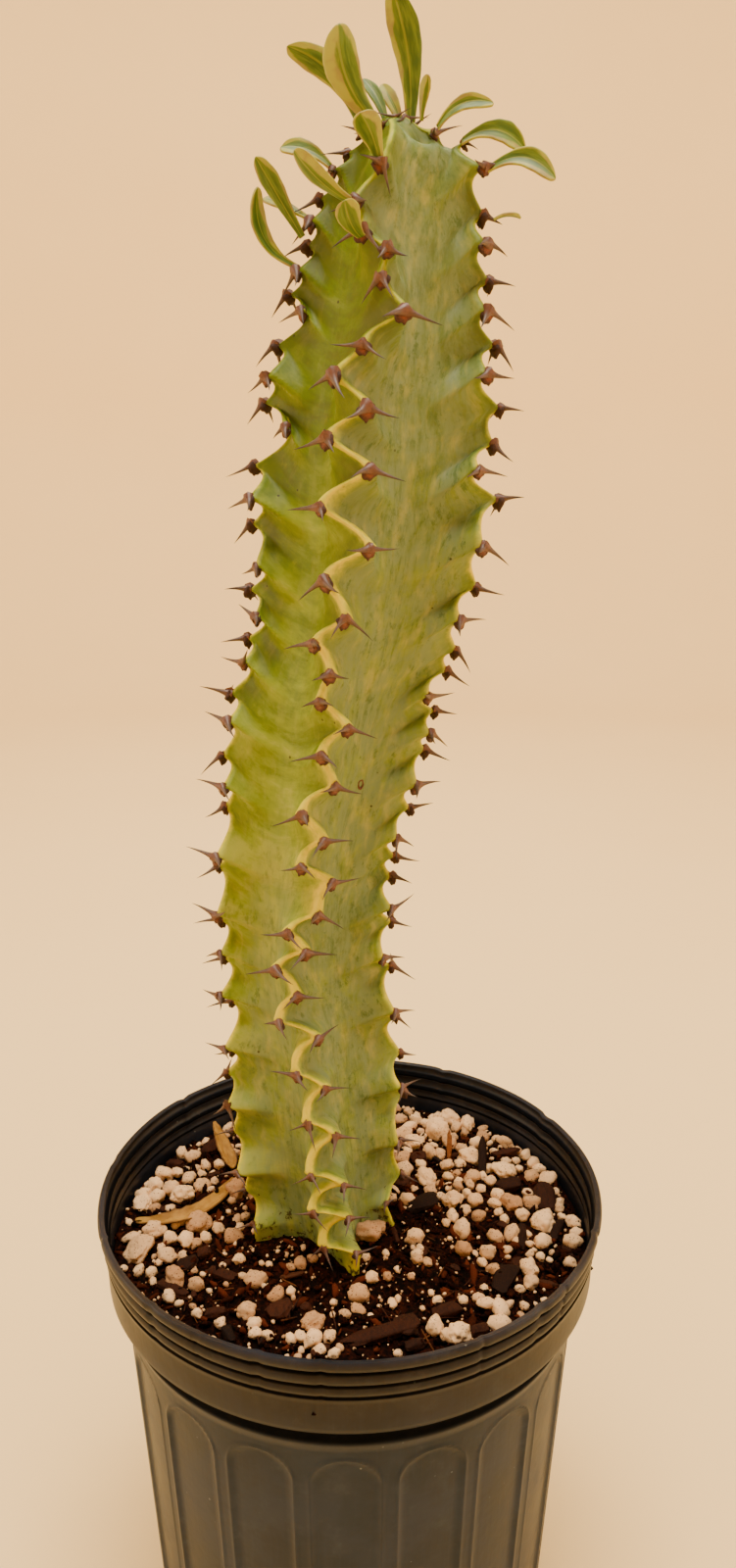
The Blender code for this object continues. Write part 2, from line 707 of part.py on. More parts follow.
def make_dry_leaf(name, route, width, collection):
    """A fallen leaf: a curled strip that follows its midrib's points over the soil."""
    last = DRY_LEAF_STATIONS - 1
    spots = [(index / (len(route) - 1), *point) for index, point in enumerate(route)]
    middles = []
    for station in range(last + 1):
        x, y, lift = (between(spots, station / last, column) for column in (1, 2, 3))
        middles.append(Vector((x, y, soil_height(x, y) + lift)))
    points = []
    for station, middle in enumerate(middles):
        along = middles[min(station + 1, last)] - middles[max(station - 1, 0)]
        side = along.cross(Vector((0.0, 0.0, 1.0))).normalized()
        half = width / 2 * math.sin(math.pi * (0.07 + 0.88 * station / last)) ** 0.8
        lift = Vector((0.0, 0.0, half * DRY_LEAF_CURL))
        points += [middle - side * half + lift, middle, middle + side * half + lift]
    faces = []
    for station in range(last):
        low = 3 * station
        faces += [(low, low + 1, low + 4, low + 3), (low + 1, low + 2, low + 5, low + 4)]
    obj = new_object(name, mesh_from(name, points, faces), collection, "dry_leaf")
    obj.modifiers.new("triangles", "TRIANGULATE")
    shell = obj.modifiers.new("thickness", "SOLIDIFY")
    shell.thickness = DRY_LEAF_THICKNESS * MM
    shell.offset = 0.0
    return obj


def main():
    clear_scene()
    parts = new_collection("potted_euphorbia_ammak")
    pot_cutters = new_collection("pot_cutters")
    soil_cutters = new_collection("soil_cutters")
    make_pot(parts, pot_cutters)
    stem = make_stem(parts)
    soil = make_soil(parts, soil_cutters)
    make_leaves(parts, stem)
    for name, (route, width) in DRY_LEAVES.items():
        make_dry_leaf(name, route, width, parts)
    for obj in (stem, soil):
        shade_round(obj)


main()
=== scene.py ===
"""The finished look of a potted variegated Euphorbia ammak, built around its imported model.

Sizes are in millimetres and angles in degrees, and MM turns a size into Blender's metres.
Heights are measured from the floor. The origin is the centre of the pot's base, and -Y is the front.
"""

import logging
import math
import random
from collections.abc import Iterable, Sequence
from dataclasses import dataclass
from enum import Enum
from functools import cached_property

import bmesh
import bpy
import numpy as np
from mathutils import Matrix, Vector, noise


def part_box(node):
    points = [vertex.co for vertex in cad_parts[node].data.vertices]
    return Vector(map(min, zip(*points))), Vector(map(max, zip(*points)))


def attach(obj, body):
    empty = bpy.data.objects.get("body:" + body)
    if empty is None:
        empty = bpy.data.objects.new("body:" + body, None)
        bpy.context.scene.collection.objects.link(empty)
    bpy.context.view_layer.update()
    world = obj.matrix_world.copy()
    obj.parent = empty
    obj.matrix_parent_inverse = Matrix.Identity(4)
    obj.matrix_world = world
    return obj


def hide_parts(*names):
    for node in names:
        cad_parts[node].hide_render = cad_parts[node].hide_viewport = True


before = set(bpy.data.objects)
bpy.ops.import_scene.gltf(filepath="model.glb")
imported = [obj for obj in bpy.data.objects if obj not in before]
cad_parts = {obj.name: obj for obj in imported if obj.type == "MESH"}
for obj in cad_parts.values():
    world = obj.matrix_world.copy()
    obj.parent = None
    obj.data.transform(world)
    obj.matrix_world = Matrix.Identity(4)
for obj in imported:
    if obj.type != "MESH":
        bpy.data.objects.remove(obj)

logging.basicConfig(level=logging.INFO, format="%(message)s")
LOG = logging.getLogger("potted_euphorbia")

MM = 0.001
BODY = "root"
PHOTO_WIDTH, PHOTO_HEIGHT = 751, 1600
FOCAL_PIXELS = 1208.0

Row = tuple[float, ...]
Table = tuple[Row, ...]
Paint = tuple[float, float, float, float]
Piece = bpy.types.Object
UP = Vector((0.0, 0.0, 1.0))


# Reading tables and laying points


def between(table: Table, place: float, column: int = 1) -> float:
    """Reads a column of a table at a place along its first column, on a smooth curve.

    Args:
        table: rows in the order of their first value.
        place: where along the first column to read.
        column: which column to read.

    Returns:
        The value on a curve that passes through every row.
    """
    if place <= table[0][0]:
        return table[0][column]
    for index in range(len(table) - 1):
        low, high = table[index], table[index + 1]
        if place > high[0]:
            continue
        before = table[max(index - 1, 0)]
        after = table[min(index + 2, len(table) - 1)]
        span = high[0] - low[0]
        share = (place - low[0]) / span
        start = (high[column] - before[column]) / max(high[0] - before[0], 1e-6) * span
        end = (after[column] - low[column]) / max(after[0] - low[0], 1e-6) * span
        square, cube = share * share, share * share * share
        return (
            (2 * cube - 3 * square + 1) * low[column]
            + (cube - 2 * square + share) * start
            + (3 * square - 2 * cube) * high[column]
            + (cube - square) * end
        )
    return table[-1][column]


def read_all(table: Table, places: Iterable[float], column: int = 1) -> np.ndarray:
    """Reads a table at many places, as between() does at one."""
    return np.array([between(table, place, column) for place in places])


def smooth_step(low: float, high: float, value: np.ndarray) -> np.ndarray:
    """A soft step from 0 at low to 1 at high."""
    share = np.clip((value - low) / (high - low), 0.0, 1.0)
    return share * share * (3 - 2 * share)


def lumps(points: np.ndarray, size: float, seed: float) -> np.ndarray:
    """Smooth noise at each point.

    Args:
        points: points in millimetres, one in a row.
        size: distance between lumps, in millimetres.
        seed: shifts the pattern.

    Returns:
        One value from about -1 to 1 for each point.
    """
    shift = Vector((seed * 7.3, seed * 3.1, seed * 5.7))
    return np.array([noise.noise(Vector(point) / size + shift) for point in points])


def deselect() -> None:
    """Leaves nothing selected, so that the next operator acts on the new piece alone."""
    bpy.ops.object.select_all(action="DESELECT")


def points_of(piece: Piece) -> np.ndarray:
    """A mesh's points in millimetres, one in a row."""
    flat = np.zeros(len(piece.data.vertices) * 3)
    piece.data.vertices.foreach_get("co", flat)
    return flat.reshape(-1, 3) / MM


def lay_points(piece: Piece, points: np.ndarray) -> None:
    """Puts a mesh's points at places given in millimetres."""
    piece.data.vertices.foreach_set("co", (points.reshape(-1) * MM).astype(np.float32))
    piece.data.update()


def mark(piece: Piece, name: str, values: np.ndarray) -> None:
    """Keeps a number or a vector for each point of a piece, for its finish to read.

    Args:
        piece: the piece.
        name: what the finish calls it.
        values: one number or vector for each point.
    """
    kind = "FLOAT" if values.ndim == 1 else "FLOAT_VECTOR"
    kept = piece.data.attributes.new(name, kind, "POINT")
    field = "value" if kind == "FLOAT" else "vector"
    kept.data.foreach_set(field, values.reshape(-1).astype(np.float32))


def pick(piece: Piece) -> None:
    """Selects a piece alone and makes it the active one."""
    deselect()
    piece.select_set(True)
    bpy.context.view_layer.objects.active = piece


def edit_all(piece: Piece) -> None:
    """Opens a piece in edit mode with all of it selected."""
    pick(piece)
    bpy.ops.object.mode_set(mode="EDIT")
    bpy.ops.mesh.select_all(action="SELECT")


def close_up(piece: Piece, reach: float = 0.0004) -> None:
    """Merges the points of a seam or a pole and turns the faces outwards.

    Args:
        piece: the mesh to close.
        reach: how close two points are that become one, in millimetres.
    """
    edit_all(piece)
    bpy.ops.mesh.remove_doubles(threshold=reach * MM)
    bpy.ops.mesh.normals_make_consistent(inside=False)
    bpy.ops.object.mode_set(mode="OBJECT")


def face_out(piece: Piece) -> None:
    """Turns a closed piece's faces outwards where they enclose its volume from the wrong side."""
    edit_all(piece)
    if bmesh.from_edit_mesh(piece.data).calc_volume(signed=True) < 0.0:
        bpy.ops.mesh.flip_normals()
    bpy.ops.object.mode_set(mode="OBJECT")


def smooth(piece: Piece, angle: float | None = None) -> None:
    """Shades a piece smoothly.

    Args:
        piece: the piece.
        angle: edges sharper than this, in degrees, are kept.
    """
    pick(piece)
    if angle is None:
        bpy.ops.object.shade_smooth()
    else:
        bpy.ops.object.shade_smooth_by_angle(angle=math.radians(angle))


def grid_piece(name: str, points: np.ndarray, marks: dict[str, np.ndarray] | None = None) -> Piece:
    """Lays a grid primitive over points, closing it where rows or columns meet.

    Args:
        name: the piece's name.
        points: places in millimetres, as rows of columns.
        marks: numbers or vectors for each point, by name, in the same order.

    Returns:
        The piece, merged where its points coincide.
    """
    rows, columns = points.shape[:2]
    deselect()
    bpy.ops.mesh.primitive_grid_add(x_subdivisions=columns - 1, y_subdivisions=rows - 1, size=2.0)
    piece = bpy.context.active_object
    piece.name = piece.data.name = name
    lay_points(piece, points.reshape(-1, 3))
    for label, values in (marks or {}).items():
        mark(piece, label, values.reshape(rows * columns, -1).squeeze())
    close_up(piece)
    return piece


def apply_modifiers(piece: Piece) -> None:
    """Applies a piece's modifiers in their order."""
    pick(piece)
    for modifier in list(piece.modifiers):
        bpy.ops.object.modifier_apply(modifier=modifier.name)


def thicken(piece: Piece, thickness: float) -> None:
    """Gives a sheet its thickness and rounds its edges.

    Args:
        piece: the sheet.
        thickness: its thickness, in millimetres.
    """
    shell = piece.modifiers.new("thickness", "SOLIDIFY")
    shell.thickness, shell.offset = thickness * MM, 0.0
    soft = piece.modifiers.new("soft", "SUBSURF")
    soft.levels = soft.render_levels = 1
    apply_modifiers(piece)


def fitted(axes: Iterable[Vector], place: Vector) -> Matrix:
    """Turns and stretches a shape.

    Args:
        axes: what its own three axes become.
        place: where its origin goes.

    Returns:
        The matrix that does so.
    """
    matrix = Matrix.Identity(4)
    for column, axis in enumerate(axes):
        for row in range(3):
            matrix[row][column] = axis[row]
    matrix.translation = place
    return matrix


@dataclass
class Template:
    """One small shape that is copied many times.

    Attributes:
        points: its points, about 1 across.
        faces: its faces, as point numbers.
        marks: numbers for each point, by name.
    """

    points: np.ndarray
    faces: list[tuple[int, ...]]
    marks: dict[str, np.ndarray]

    @classmethod
    def of(cls, piece: Piece, marks: dict[str, np.ndarray] | None = None) -> "Template":
        """Takes a modelled shape's mesh as a template and removes the shape.

        Args:
            piece: the shape.
            marks: numbers for each of its points, by name.

        Returns:
            The template.
        """
        faces = [tuple(face.vertices) for face in piece.data.polygons]
        made = cls(points_of(piece) * MM, faces, marks or {})
        bpy.data.objects.remove(piece)
        return made


@dataclass
class Copy:
    """One copy of a template: where it goes, how it is turned and stretched, and its tone."""

    template: Template
    matrix: Matrix
    tone: float = 0.5


def strewn(name: str, copies: Sequence[Copy]) -> Piece:
    """Joins copies of templates, each with its own mesh, into one piece.

    Args:
        name: the piece's name.
        copies: the copies, with places in millimetres.

    Returns:
        The joined piece, with each copy's tone marked on its points.
    """
    points, faces, tones, start = [], [], [], 0
    labels = sorted(copies[0].template.marks)
    kept: dict[str, list[np.ndarray]] = {label: [] for label in labels}
    for copy in copies:
        matrix = np.array(copy.matrix)
        shape = copy.template
        points.append(shape.points @ matrix[:3, :3].T + matrix[:3, 3])
        faces += [tuple(corner + start for corner in face) for face in shape.faces]
        tones.append(np.full(len(shape.points), copy.tone))
        for label in labels:
            kept[label].append(shape.marks[label])
        start += len(shape.points)
    mesh = bpy.data.meshes.new(name)
    mesh.from_pydata((np.concatenate(points) * MM).tolist(), [], faces)
    piece = bpy.data.objects.new(name, mesh)
    bpy.context.scene.collection.objects.link(piece)
    mark(piece, "tone", np.concatenate(tones))
    for label in labels:
        mark(piece, label, np.concatenate(kept[label]))
    return piece


def ball(subdivisions: int) -> Piece:
    """A new ball of radius 1 in template units, of even triangles."""
    deselect()
    bpy.ops.mesh.primitive_ico_sphere_add(subdivisions=subdivisions, radius=1.0)
    return bpy.context.active_object


def settle(piece: Piece, slot: str, finish: bpy.types.Material, *nodes: str) -> None:
    """Dresses a finished piece and fixes it to the part.

    Args:
        piece: the finished piece.
        slot: not used.
        finish: its material.
        nodes: the CAD nodes that it stands for.
    """
    piece.data.materials.clear()
    piece.data.materials.append(finish)
    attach(piece, BODY)
    if nodes:
        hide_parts(*nodes)
    LOG.info("%s: %d faces", piece.name, len(piece.data.polygons))


# Camera, floor and light


def paint(red: int, green: int, blue: int) -> tuple[float, float, float, float]:
    """A colour given as it looks on a screen, from 0 to 255, as Blender's linear colour."""
    def linear(value: int) -> float:
        """One of the three values."""
        share = value / 255
        return share / 12.92 if share <= 0.04045 else ((share + 0.055) / 1.055) ** 2.4

    return linear(red), linear(green), linear(blue), 1.0


@dataclass
class Eye:
    """The camera, where the photograph was taken from.

    Attributes:
        back: distance in front of the pot's axis.
        height: height above the floor.
        pitch: how far it looks down.
        yaw: how far it looks to the right.
    """

    back: float = 342.2
    height: float = 399.9
    pitch: float = 15.99
    yaw: float = 0.99

    def forward(self) -> Vector:
        """The direction that the camera looks in."""
        yaw, pitch = math.radians(self.yaw), math.radians(self.pitch)
        level = math.cos(pitch)
        return Vector((math.sin(yaw) * level, math.cos(yaw) * level, -math.sin(pitch)))

    def build(self) -> None:
        """Makes the camera and gives it to the scene."""
        data = bpy.data.cameras.new("eye")
        data.sensor_width = 36.0
        data.lens = 36.0 * FOCAL_PIXELS / PHOTO_HEIGHT
        data.clip_start, data.clip_end = 0.01, 20.0
        camera = bpy.data.objects.new("eye", data)
        camera.location = Vector((0.0, -self.back, self.height)) * MM
        camera.rotation_mode = "QUATERNION"
        camera.rotation_quaternion = self.forward().to_track_quat("-Z", "Y")
        bpy.context.scene.collection.objects.link(camera)
        bpy.context.scene.camera = camera

    def seen_at(self, across: float, down: float, height: float) -> tuple[Vector, float]:
        """Finds the point at a height that is seen at a place in the photograph.

        Args:
            across: pixels from the photograph's left edge.
            down: pixels from its top edge.
            height: the point's height above the floor.

        Returns:
            The point, and how many millimetres one pixel covers there.
        """
        forward = self.forward()
        right = forward.cross(UP).normalized()
        up = right.cross(forward)
        ray = (
            forward
            + right * (across - PHOTO_WIDTH / 2) / FOCAL_PIXELS
            - up * (down - PHOTO_HEIGHT / 2) / FOCAL_PIXELS
        )
        start = Vector((0.0, -self.back, self.height))
        depth = (height - start.z) / ray.z
        return start + ray * depth, depth / FOCAL_PIXELS


@dataclass
class Studio:
    """A pale floor that curves up all round, and soft light.

    Attributes:
        floor_radius: where the floor starts to curve up, in metres.
        sweep: radius of the curve, in metres.
        wall: height of the wall above the curve, in metres.
        air: the colour of the light from all round.
        air_strength: its strength.
    """

    floor_radius: float = 1.5
    sweep: float = 0.5
    wall: float = 1.3
    air: Paint = (1.0, 0.88, 0.72, 1.0)
    air_strength: float = 0.27

    # Each lamp's name, place, side and power, in metres and watts, its light's colour and where it shines
    LAMPS = (
        ("top_light", (0.0, -0.15, 2.1), 1.2, 74.0, (1.0, 0.9, 0.74), (0.0, 0.0, 0.25)),
        ("left_light", (-1.35, 0.0, 0.6), 0.8, 6.4, (1.0, 0.92, 0.74), (0.0, 0.0, 0.25)),
        ("right_light", (1.35, -0.1, 0.6), 0.8, 6.8, (1.0, 0.89, 0.72), (0.0, 0.0, 0.25)),
        ("backdrop_light", (0.0, 0.75, 1.2), 0.9, 8.0, (1.0, 0.9, 0.74), (0.0, 1.9, 0.35)),
    )

    def build(self) -> None:
        """Makes the floor, the lamps and the light from all round."""
        self.build_floor()
        for lamp in self.LAMPS:
            self.hang(*lamp)
        world = bpy.data.worlds.new("studio_air")
        world.use_nodes = True
        back = world.node_tree.nodes["Background"]
        back.inputs["Color"].default_value = self.air
        back.inputs["Strength"].default_value = self.air_strength
        bpy.context.scene.world = world

    def build_floor(self) -> None:
        """Makes the floor, whose edge curves up into a wall all round."""
        profile = [(0.0, 0.0), (self.floor_radius * 0.5, 0.0), (self.floor_radius, 0.0)]
        for step in range(1, 13):
            turn = math.pi / 2 * step / 12
            radius = self.floor_radius + self.sweep * math.sin(turn)
            profile.append((radius, self.sweep * (1 - math.cos(turn))))
        profile.append((self.floor_radius + self.sweep, self.sweep + self.wall))
        turns = np.linspace(0.0, 2 * math.pi, 97)
        points = np.array([
            [(radius * math.cos(turn), radius * math.sin(turn), height) for turn in turns]
            for radius, height in profile
        ]) / MM
        floor = grid_piece("studio_floor", points)
        edit_all(floor)
        bpy.ops.mesh.flip_normals()
        bpy.ops.object.mode_set(mode="OBJECT")
        smooth(floor)
        floor.data.materials.append(PaleFloor().material())

    @staticmethod
    def hang(name: str, place: Row, size: float, power: float, colour: Row, target: Row) -> None:
        """Adds one soft square lamp.

        Args:
            name: the lamp's name.
            place: where it hangs, in metres.
            size: its side, in metres.
            power: its power in watts.
            colour: the colour of its light.
            target: the point that it shines at, in metres.
        """
        data = bpy.data.lights.new(name, "AREA")
        data.shape = "SQUARE"
        data.size = size
        data.energy = power
        data.color = colour
        lamp = bpy.data.objects.new(name, data)
        lamp.location = place
        lamp.visible_camera = False
        aim = Vector(target) - Vector(place)
        lamp.rotation_mode = "QUATERNION"
        lamp.rotation_quaternion = aim.to_track_quat("-Z", "Y")
        bpy.context.scene.collection.objects.link(lamp)


# Finishes


class Value:
    """What a node gives: a number, a vector or a colour. Numbers take part in sums as plain ones do.

    Args:
        bench: where its nodes are put together.
        socket: the node's output.
    """

    def __init__(self, bench: "Bench", socket: bpy.types.NodeSocket) -> None:
        self.bench = bench
        self.socket = socket

    def __add__(self, other: object) -> "Value":
        """The sum of two numbers."""
        return self.bench.reckon("ADD", self, other)

    def __sub__(self, other: object) -> "Value":
        """This number less another."""
        return self.bench.reckon("SUBTRACT", self, other)

    def __mul__(self, other: object) -> "Value":
        """The product of two numbers."""
        return self.bench.reckon("MULTIPLY", self, other)

    def __or__(self, other: object) -> "Value":
        """The larger of two numbers."""
        return self.bench.reckon("MAXIMUM", self, other)

    def __abs__(self) -> "Value":
        """The number without its sign."""
        return self.bench.reckon("ABSOLUTE", self)

    def ramp(self, low: float, high: float) -> "Value":
        """A soft step from 0 at low to 1 at high, or down where low is the larger."""
        start, end = (0.0, 1.0) if low < high else (1.0, 0.0)
        inputs = {
            "Value": self, "From Min": min(low, high), "From Max": max(low, high),
            "To Min": start, "To Max": end,
        }
        return self.bench.node("MapRange", "Result", inputs, interpolation_type="SMOOTHSTEP")

    def stretched(self, x: float, y: float, z: float) -> "Value":
        """A vector scaled along each axis."""
        return self.bench.node("Mapping", "Vector", {"Vector": self, "Scale": (x, y, z)})

    def axis(self, name: str) -> "Value":
        """One of a vector's three values, X, Y or Z."""
        return self.bench.node("SeparateXYZ", name, {0: self})

    def grain(self, size: float, detail: float = 3.0, rough: float = 0.55, bend: float = 0.0) -> "Value":
        """Soft noise, read at this vector.

        Args:
            size: distance between its lumps, in millimetres.
            detail: how many finer layers it has.
            rough: how strong the finer layers are.
            bend: how much it winds.

        Returns:
            A number around 0.5.
        """
        traits = {"Scale": 1.0 / (size * MM), "Detail": detail, "Roughness": rough, "Distortion": bend}
        return self.bench.node("TexNoise", "Fac", {"Vector": self, **traits})

    def cells(self, size: float) -> "Value":
        """The distance from this vector to the nearest of scattered points, which lie about a size apart."""
        return self.bench.node("TexVoronoi", "Distance", {"Vector": self, "Scale": 1.0 / (size * MM)})

    def relief(self, depth: float, under: "Value | None" = None) -> "Value":
        """Fine relief on the surface, which stands up where this number is 1.

        Args:
            depth: how high it stands, in millimetres.
            under: coarser relief that it lies on.

        Returns:
            The normal.
        """
        inputs = {"Strength": 1.0, "Distance": depth * MM, "Height": self, "Normal": under}
        return self.bench.node("Bump", "Normal", inputs)


class Bench:
    """Where one material's nodes are put together.

    Args:
        name: the material's name.
    """

    def __init__(self, name: str) -> None:
        self.material = bpy.data.materials.new(name)
        self.material.use_nodes = True
        self.tree = self.material.node_tree
        self.shader = self.tree.nodes["Principled BSDF"]

    def feed(self, socket: bpy.types.NodeSocket, value: object) -> None:
        """Links a socket to another node's value, or sets it to a number or colour."""
        if isinstance(value, Value):
            self.tree.links.new(value.socket, socket)
        elif value is not None:
            socket.default_value = value

    def node(self, kind: str, output: str | int, inputs: dict, **traits: object) -> Value:
        """Adds a node.

        Args:
            kind: the last part of its type's name.
            output: which of its outputs is wanted.
            inputs: what goes into its sockets.
            traits: its settings.

        Returns:
            The wanted output.
        """
        node = self.tree.nodes.new(f"ShaderNode{kind}")
        for name, value in traits.items():
            setattr(node, name, value)
        for name, value in inputs.items():
            self.feed(node.inputs[name], value)
        return Value(self, node.outputs[output])

    def place(self) -> Value:
        """The point's own place in the part, in metres."""
        return self.node("TexCoord", "Object", {})

    def marked(self, name: str, vector: bool = False) -> Value:
        """A number or vector that was marked on the piece's points."""
        return self.node("Attribute", "Vector" if vector else "Fac", {}, attribute_name=name)

    def reckon(self, operation: str, first: object, second: object = None) -> Value:
        """One step of arithmetic on numbers."""
        return self.node("Math", "Value", {0: first, 1: second}, operation=operation)

    def blend(self, factor: object, first: object, second: object, way: str = "MIX") -> Value:
        """Mixes two colours: the first at factor 0, the second at factor 1."""
        return self.node("Mix", 2, {"Factor": factor, 6: first, 7: second}, data_type="RGBA", blend_type=way)

    def layers(self, colour: object, *coats: tuple[Value, object]) -> Value:
        """Lays coats of colour over a first one, each where its own mask is 1."""
        for mask, coat in coats:
            colour = self.blend(mask, colour, coat)
        return colour

    def done(
        self, colour: object, roughness: object, normal: object = None, **others: object
    ) -> bpy.types.Material:
        """Joins what was made to the shader.

        Args:
            colour: the base colour.
            roughness: the roughness.
            normal: the normal of fine relief.
            others: other sockets of the shader, with underscores for spaces.

        Returns:
            The finished material.
        """
        sockets = {"Base Color": colour, "Roughness": roughness, "Normal": normal, **others}
        for name, value in sockets.items():
            self.feed(self.shader.inputs[name.replace("_", " ")], value)
        return self.material


@dataclass(frozen=True)
class PaleFloor:
    """The studio floor: pale, matt and a little uneven."""

    pale: Paint = paint(248, 219, 160)
    dim: Paint = paint(244, 212, 150)

    def material(self) -> bpy.types.Material:
        """Makes the material."""
        bench = Bench("pale_floor")
        colour = bench.blend(bench.place().grain(260.0), self.pale, self.dim)
        return bench.done(colour, 0.85, Specular_IOR_Level=0.2)


@dataclass(frozen=True)
class BlackPlastic:
    """Blow-moulded nursery-pot plastic: black, satin, drawn in fine vertical lines, with dust, and with
    painted shade and some dirt in the collar's grooves.

    Attributes:
        body: its plain colour.
        worn: its colour where it is rubbed.
        lip: what the collar's colour is multiplied by, and the tint of the collar's gloss.
        sheen: the tint of the gloss below the collar.
        dust: the colour of dust and splashes.
        dirt_and_shade: the near-black painted into the grooves: painted shade, with some dirt.
        collar: the heights between which the collar's colour comes in, in metres.
        grooves: height and reach, in millimetres, of the grooves in the collar that hold painted shade and
            some dirt.
    """

    body: Paint = paint(19, 25, 40)
    worn: Paint = paint(31, 39, 60)
    lip: Paint = (0.86, 0.76, 0.6, 1.0)
    sheen: Paint = (0.48, 0.66, 1.0, 1.0)
    dust: Paint = paint(94, 102, 114)
    dirt_and_shade: Paint = paint(4, 4, 4)
    collar: Row = (0.128, 0.15)
    grooves: Table = ((160.7, 1.2), (155.8, 1.0), (151.9, 0.7), (135.3, 5.2))

    def material(self) -> bpy.types.Material:
        """Makes the material."""
        bench = Bench("black_plastic")
        place = bench.place()
        drawn = place.stretched(1.0, 1.0, 0.06).grain(1.3, 3.0, 0.6)
        cloud = place.grain(26.0, 4.0, 0.6)
        specks = place.cells(5.5).ramp(0.075, 0.04) * place.grain(9.0, 1.0).ramp(0.52, 0.62)
        film = place.grain(12.0, 6.0, 0.72).ramp(0.52, 0.8) * 0.2
        colour = bench.layers(
            self.body, (cloud.ramp(0.35, 0.7), self.worn), (drawn.ramp(0.45, 0.75) * 0.35, self.worn),
            (specks | film, self.dust),
        )
        height = place.axis("Z")
        collar = height.ramp(*self.collar)
        colour = bench.blend(collar, colour, bench.blend(1.0, colour, self.lip, "MULTIPLY"))
        # The grooves are painted nearly black, duller and rougher: painted shade, with some dirt.
        grooves = None
        for middle, reach in self.grooves:
            groove = abs(height - middle * MM).ramp(reach * MM, 0.45 * reach * MM)
            grooves = groove if grooves is None else grooves | groove
        colour = bench.blend(grooves * 0.9, colour, self.dirt_and_shade)
        rough = cloud * 0.22 + 0.3 + (film | grooves) * 0.6
        fine = drawn.relief(0.03, place.grain(7.0, 2.0).relief(0.12))
        gloss = bench.reckon("SUBTRACT", 1.0, grooves * 0.85) * 0.28
        tint = bench.blend(collar, self.sheen, self.lip)
        return bench.done(colour, rough, fine, Specular_IOR_Level=gloss, Specular_Tint=tint)


@dataclass(frozen=True)
class PottingMix:
    """Moist peat: nearly black, with red-brown fibres."""

    black: Paint = paint(9, 3, 1)
    brown: Paint = paint(50, 17, 6)
    fibre: Paint = paint(80, 34, 17)

    def material(self, name: str = "potting_mix", toned: bool = False) -> bpy.types.Material:
        """Makes the material.

        Args:
            name: the material's name.
            toned: whether the piece has a tone marked on each crumb.

        Returns:
            The material.
        """
        bench = Bench(name)
        place = bench.place()
        cloud = place.grain(2.4, 6.0, 0.7)
        coats = [(cloud.ramp(0.42, 0.72), self.brown)]
        if toned:
            coats.append((bench.marked("tone").ramp(0.55, 1.0), self.fibre))
        fleck = place.stretched(1.0, 0.3, 1.0).grain(0.9, 2.0).ramp(0.66, 0.74)
        colour = bench.layers(self.black, *coats, (fleck * 0.7, self.fibre))
        return bench.done(colour, 0.8, cloud.relief(0.5), Specular_IOR_Level=0.04)


@dataclass(frozen=True)
class Perlite:
    """Puffed white grains: creamy, pitted and stained with peat."""

    white: Paint = paint(232, 190, 142)
    cream: Paint = paint(172, 128, 88)
    stain: Paint = paint(52, 24, 12)

    def material(self) -> bpy.types.Material:
        """Makes the material."""
        bench = Bench("perlite")
        place, tone = bench.place(), bench.marked("tone")
        often = (place.grain(4.0, 2.0) + tone * 0.3).ramp(0.38, 0.62)
        pits = place.cells(0.95).ramp(0.27, 0.13) * often
        film = place.grain(0.8, 4.0, 0.8).ramp(0.56, 0.72) * often
        colour = bench.layers(
            self.white,
            (tone.ramp(0.1, 0.9), self.cream),
            (place.grain(2.6, 5.0, 0.7).ramp(0.5, 0.75) * 0.6, self.cream),
            ((pits | film * 0.75) * 0.9, self.stain),
        )
        return bench.done(colour, 0.85, place.grain(0.7, 4.0, 0.7).relief(0.16), Specular_IOR_Level=0.12)


@dataclass(frozen=True)
class Bark:
    """Composted bark and wood: brown with a grain, from nearly black to tan by tone."""

    dark: Paint = paint(27, 15, 10)
    brown: Paint = paint(56, 28, 16)
    tan: Paint = paint(128, 76, 38)

    def material(self) -> bpy.types.Material:
        """Makes the material."""
        bench = Bench("bark")
        tone = bench.marked("tone")
        lines = bench.place().stretched(1.0, 0.25, 1.0).grain(0.9, 4.0, 0.7)
        colour = bench.layers(
            self.dark, (tone.ramp(0.0, 0.55), self.brown), (tone.ramp(0.6, 1.0), self.tan),
            (lines.ramp(0.45, 0.7) * 0.65, self.dark),
        )
        return bench.done(colour, 0.75, lines.relief(0.5), Specular_IOR_Level=0.08)


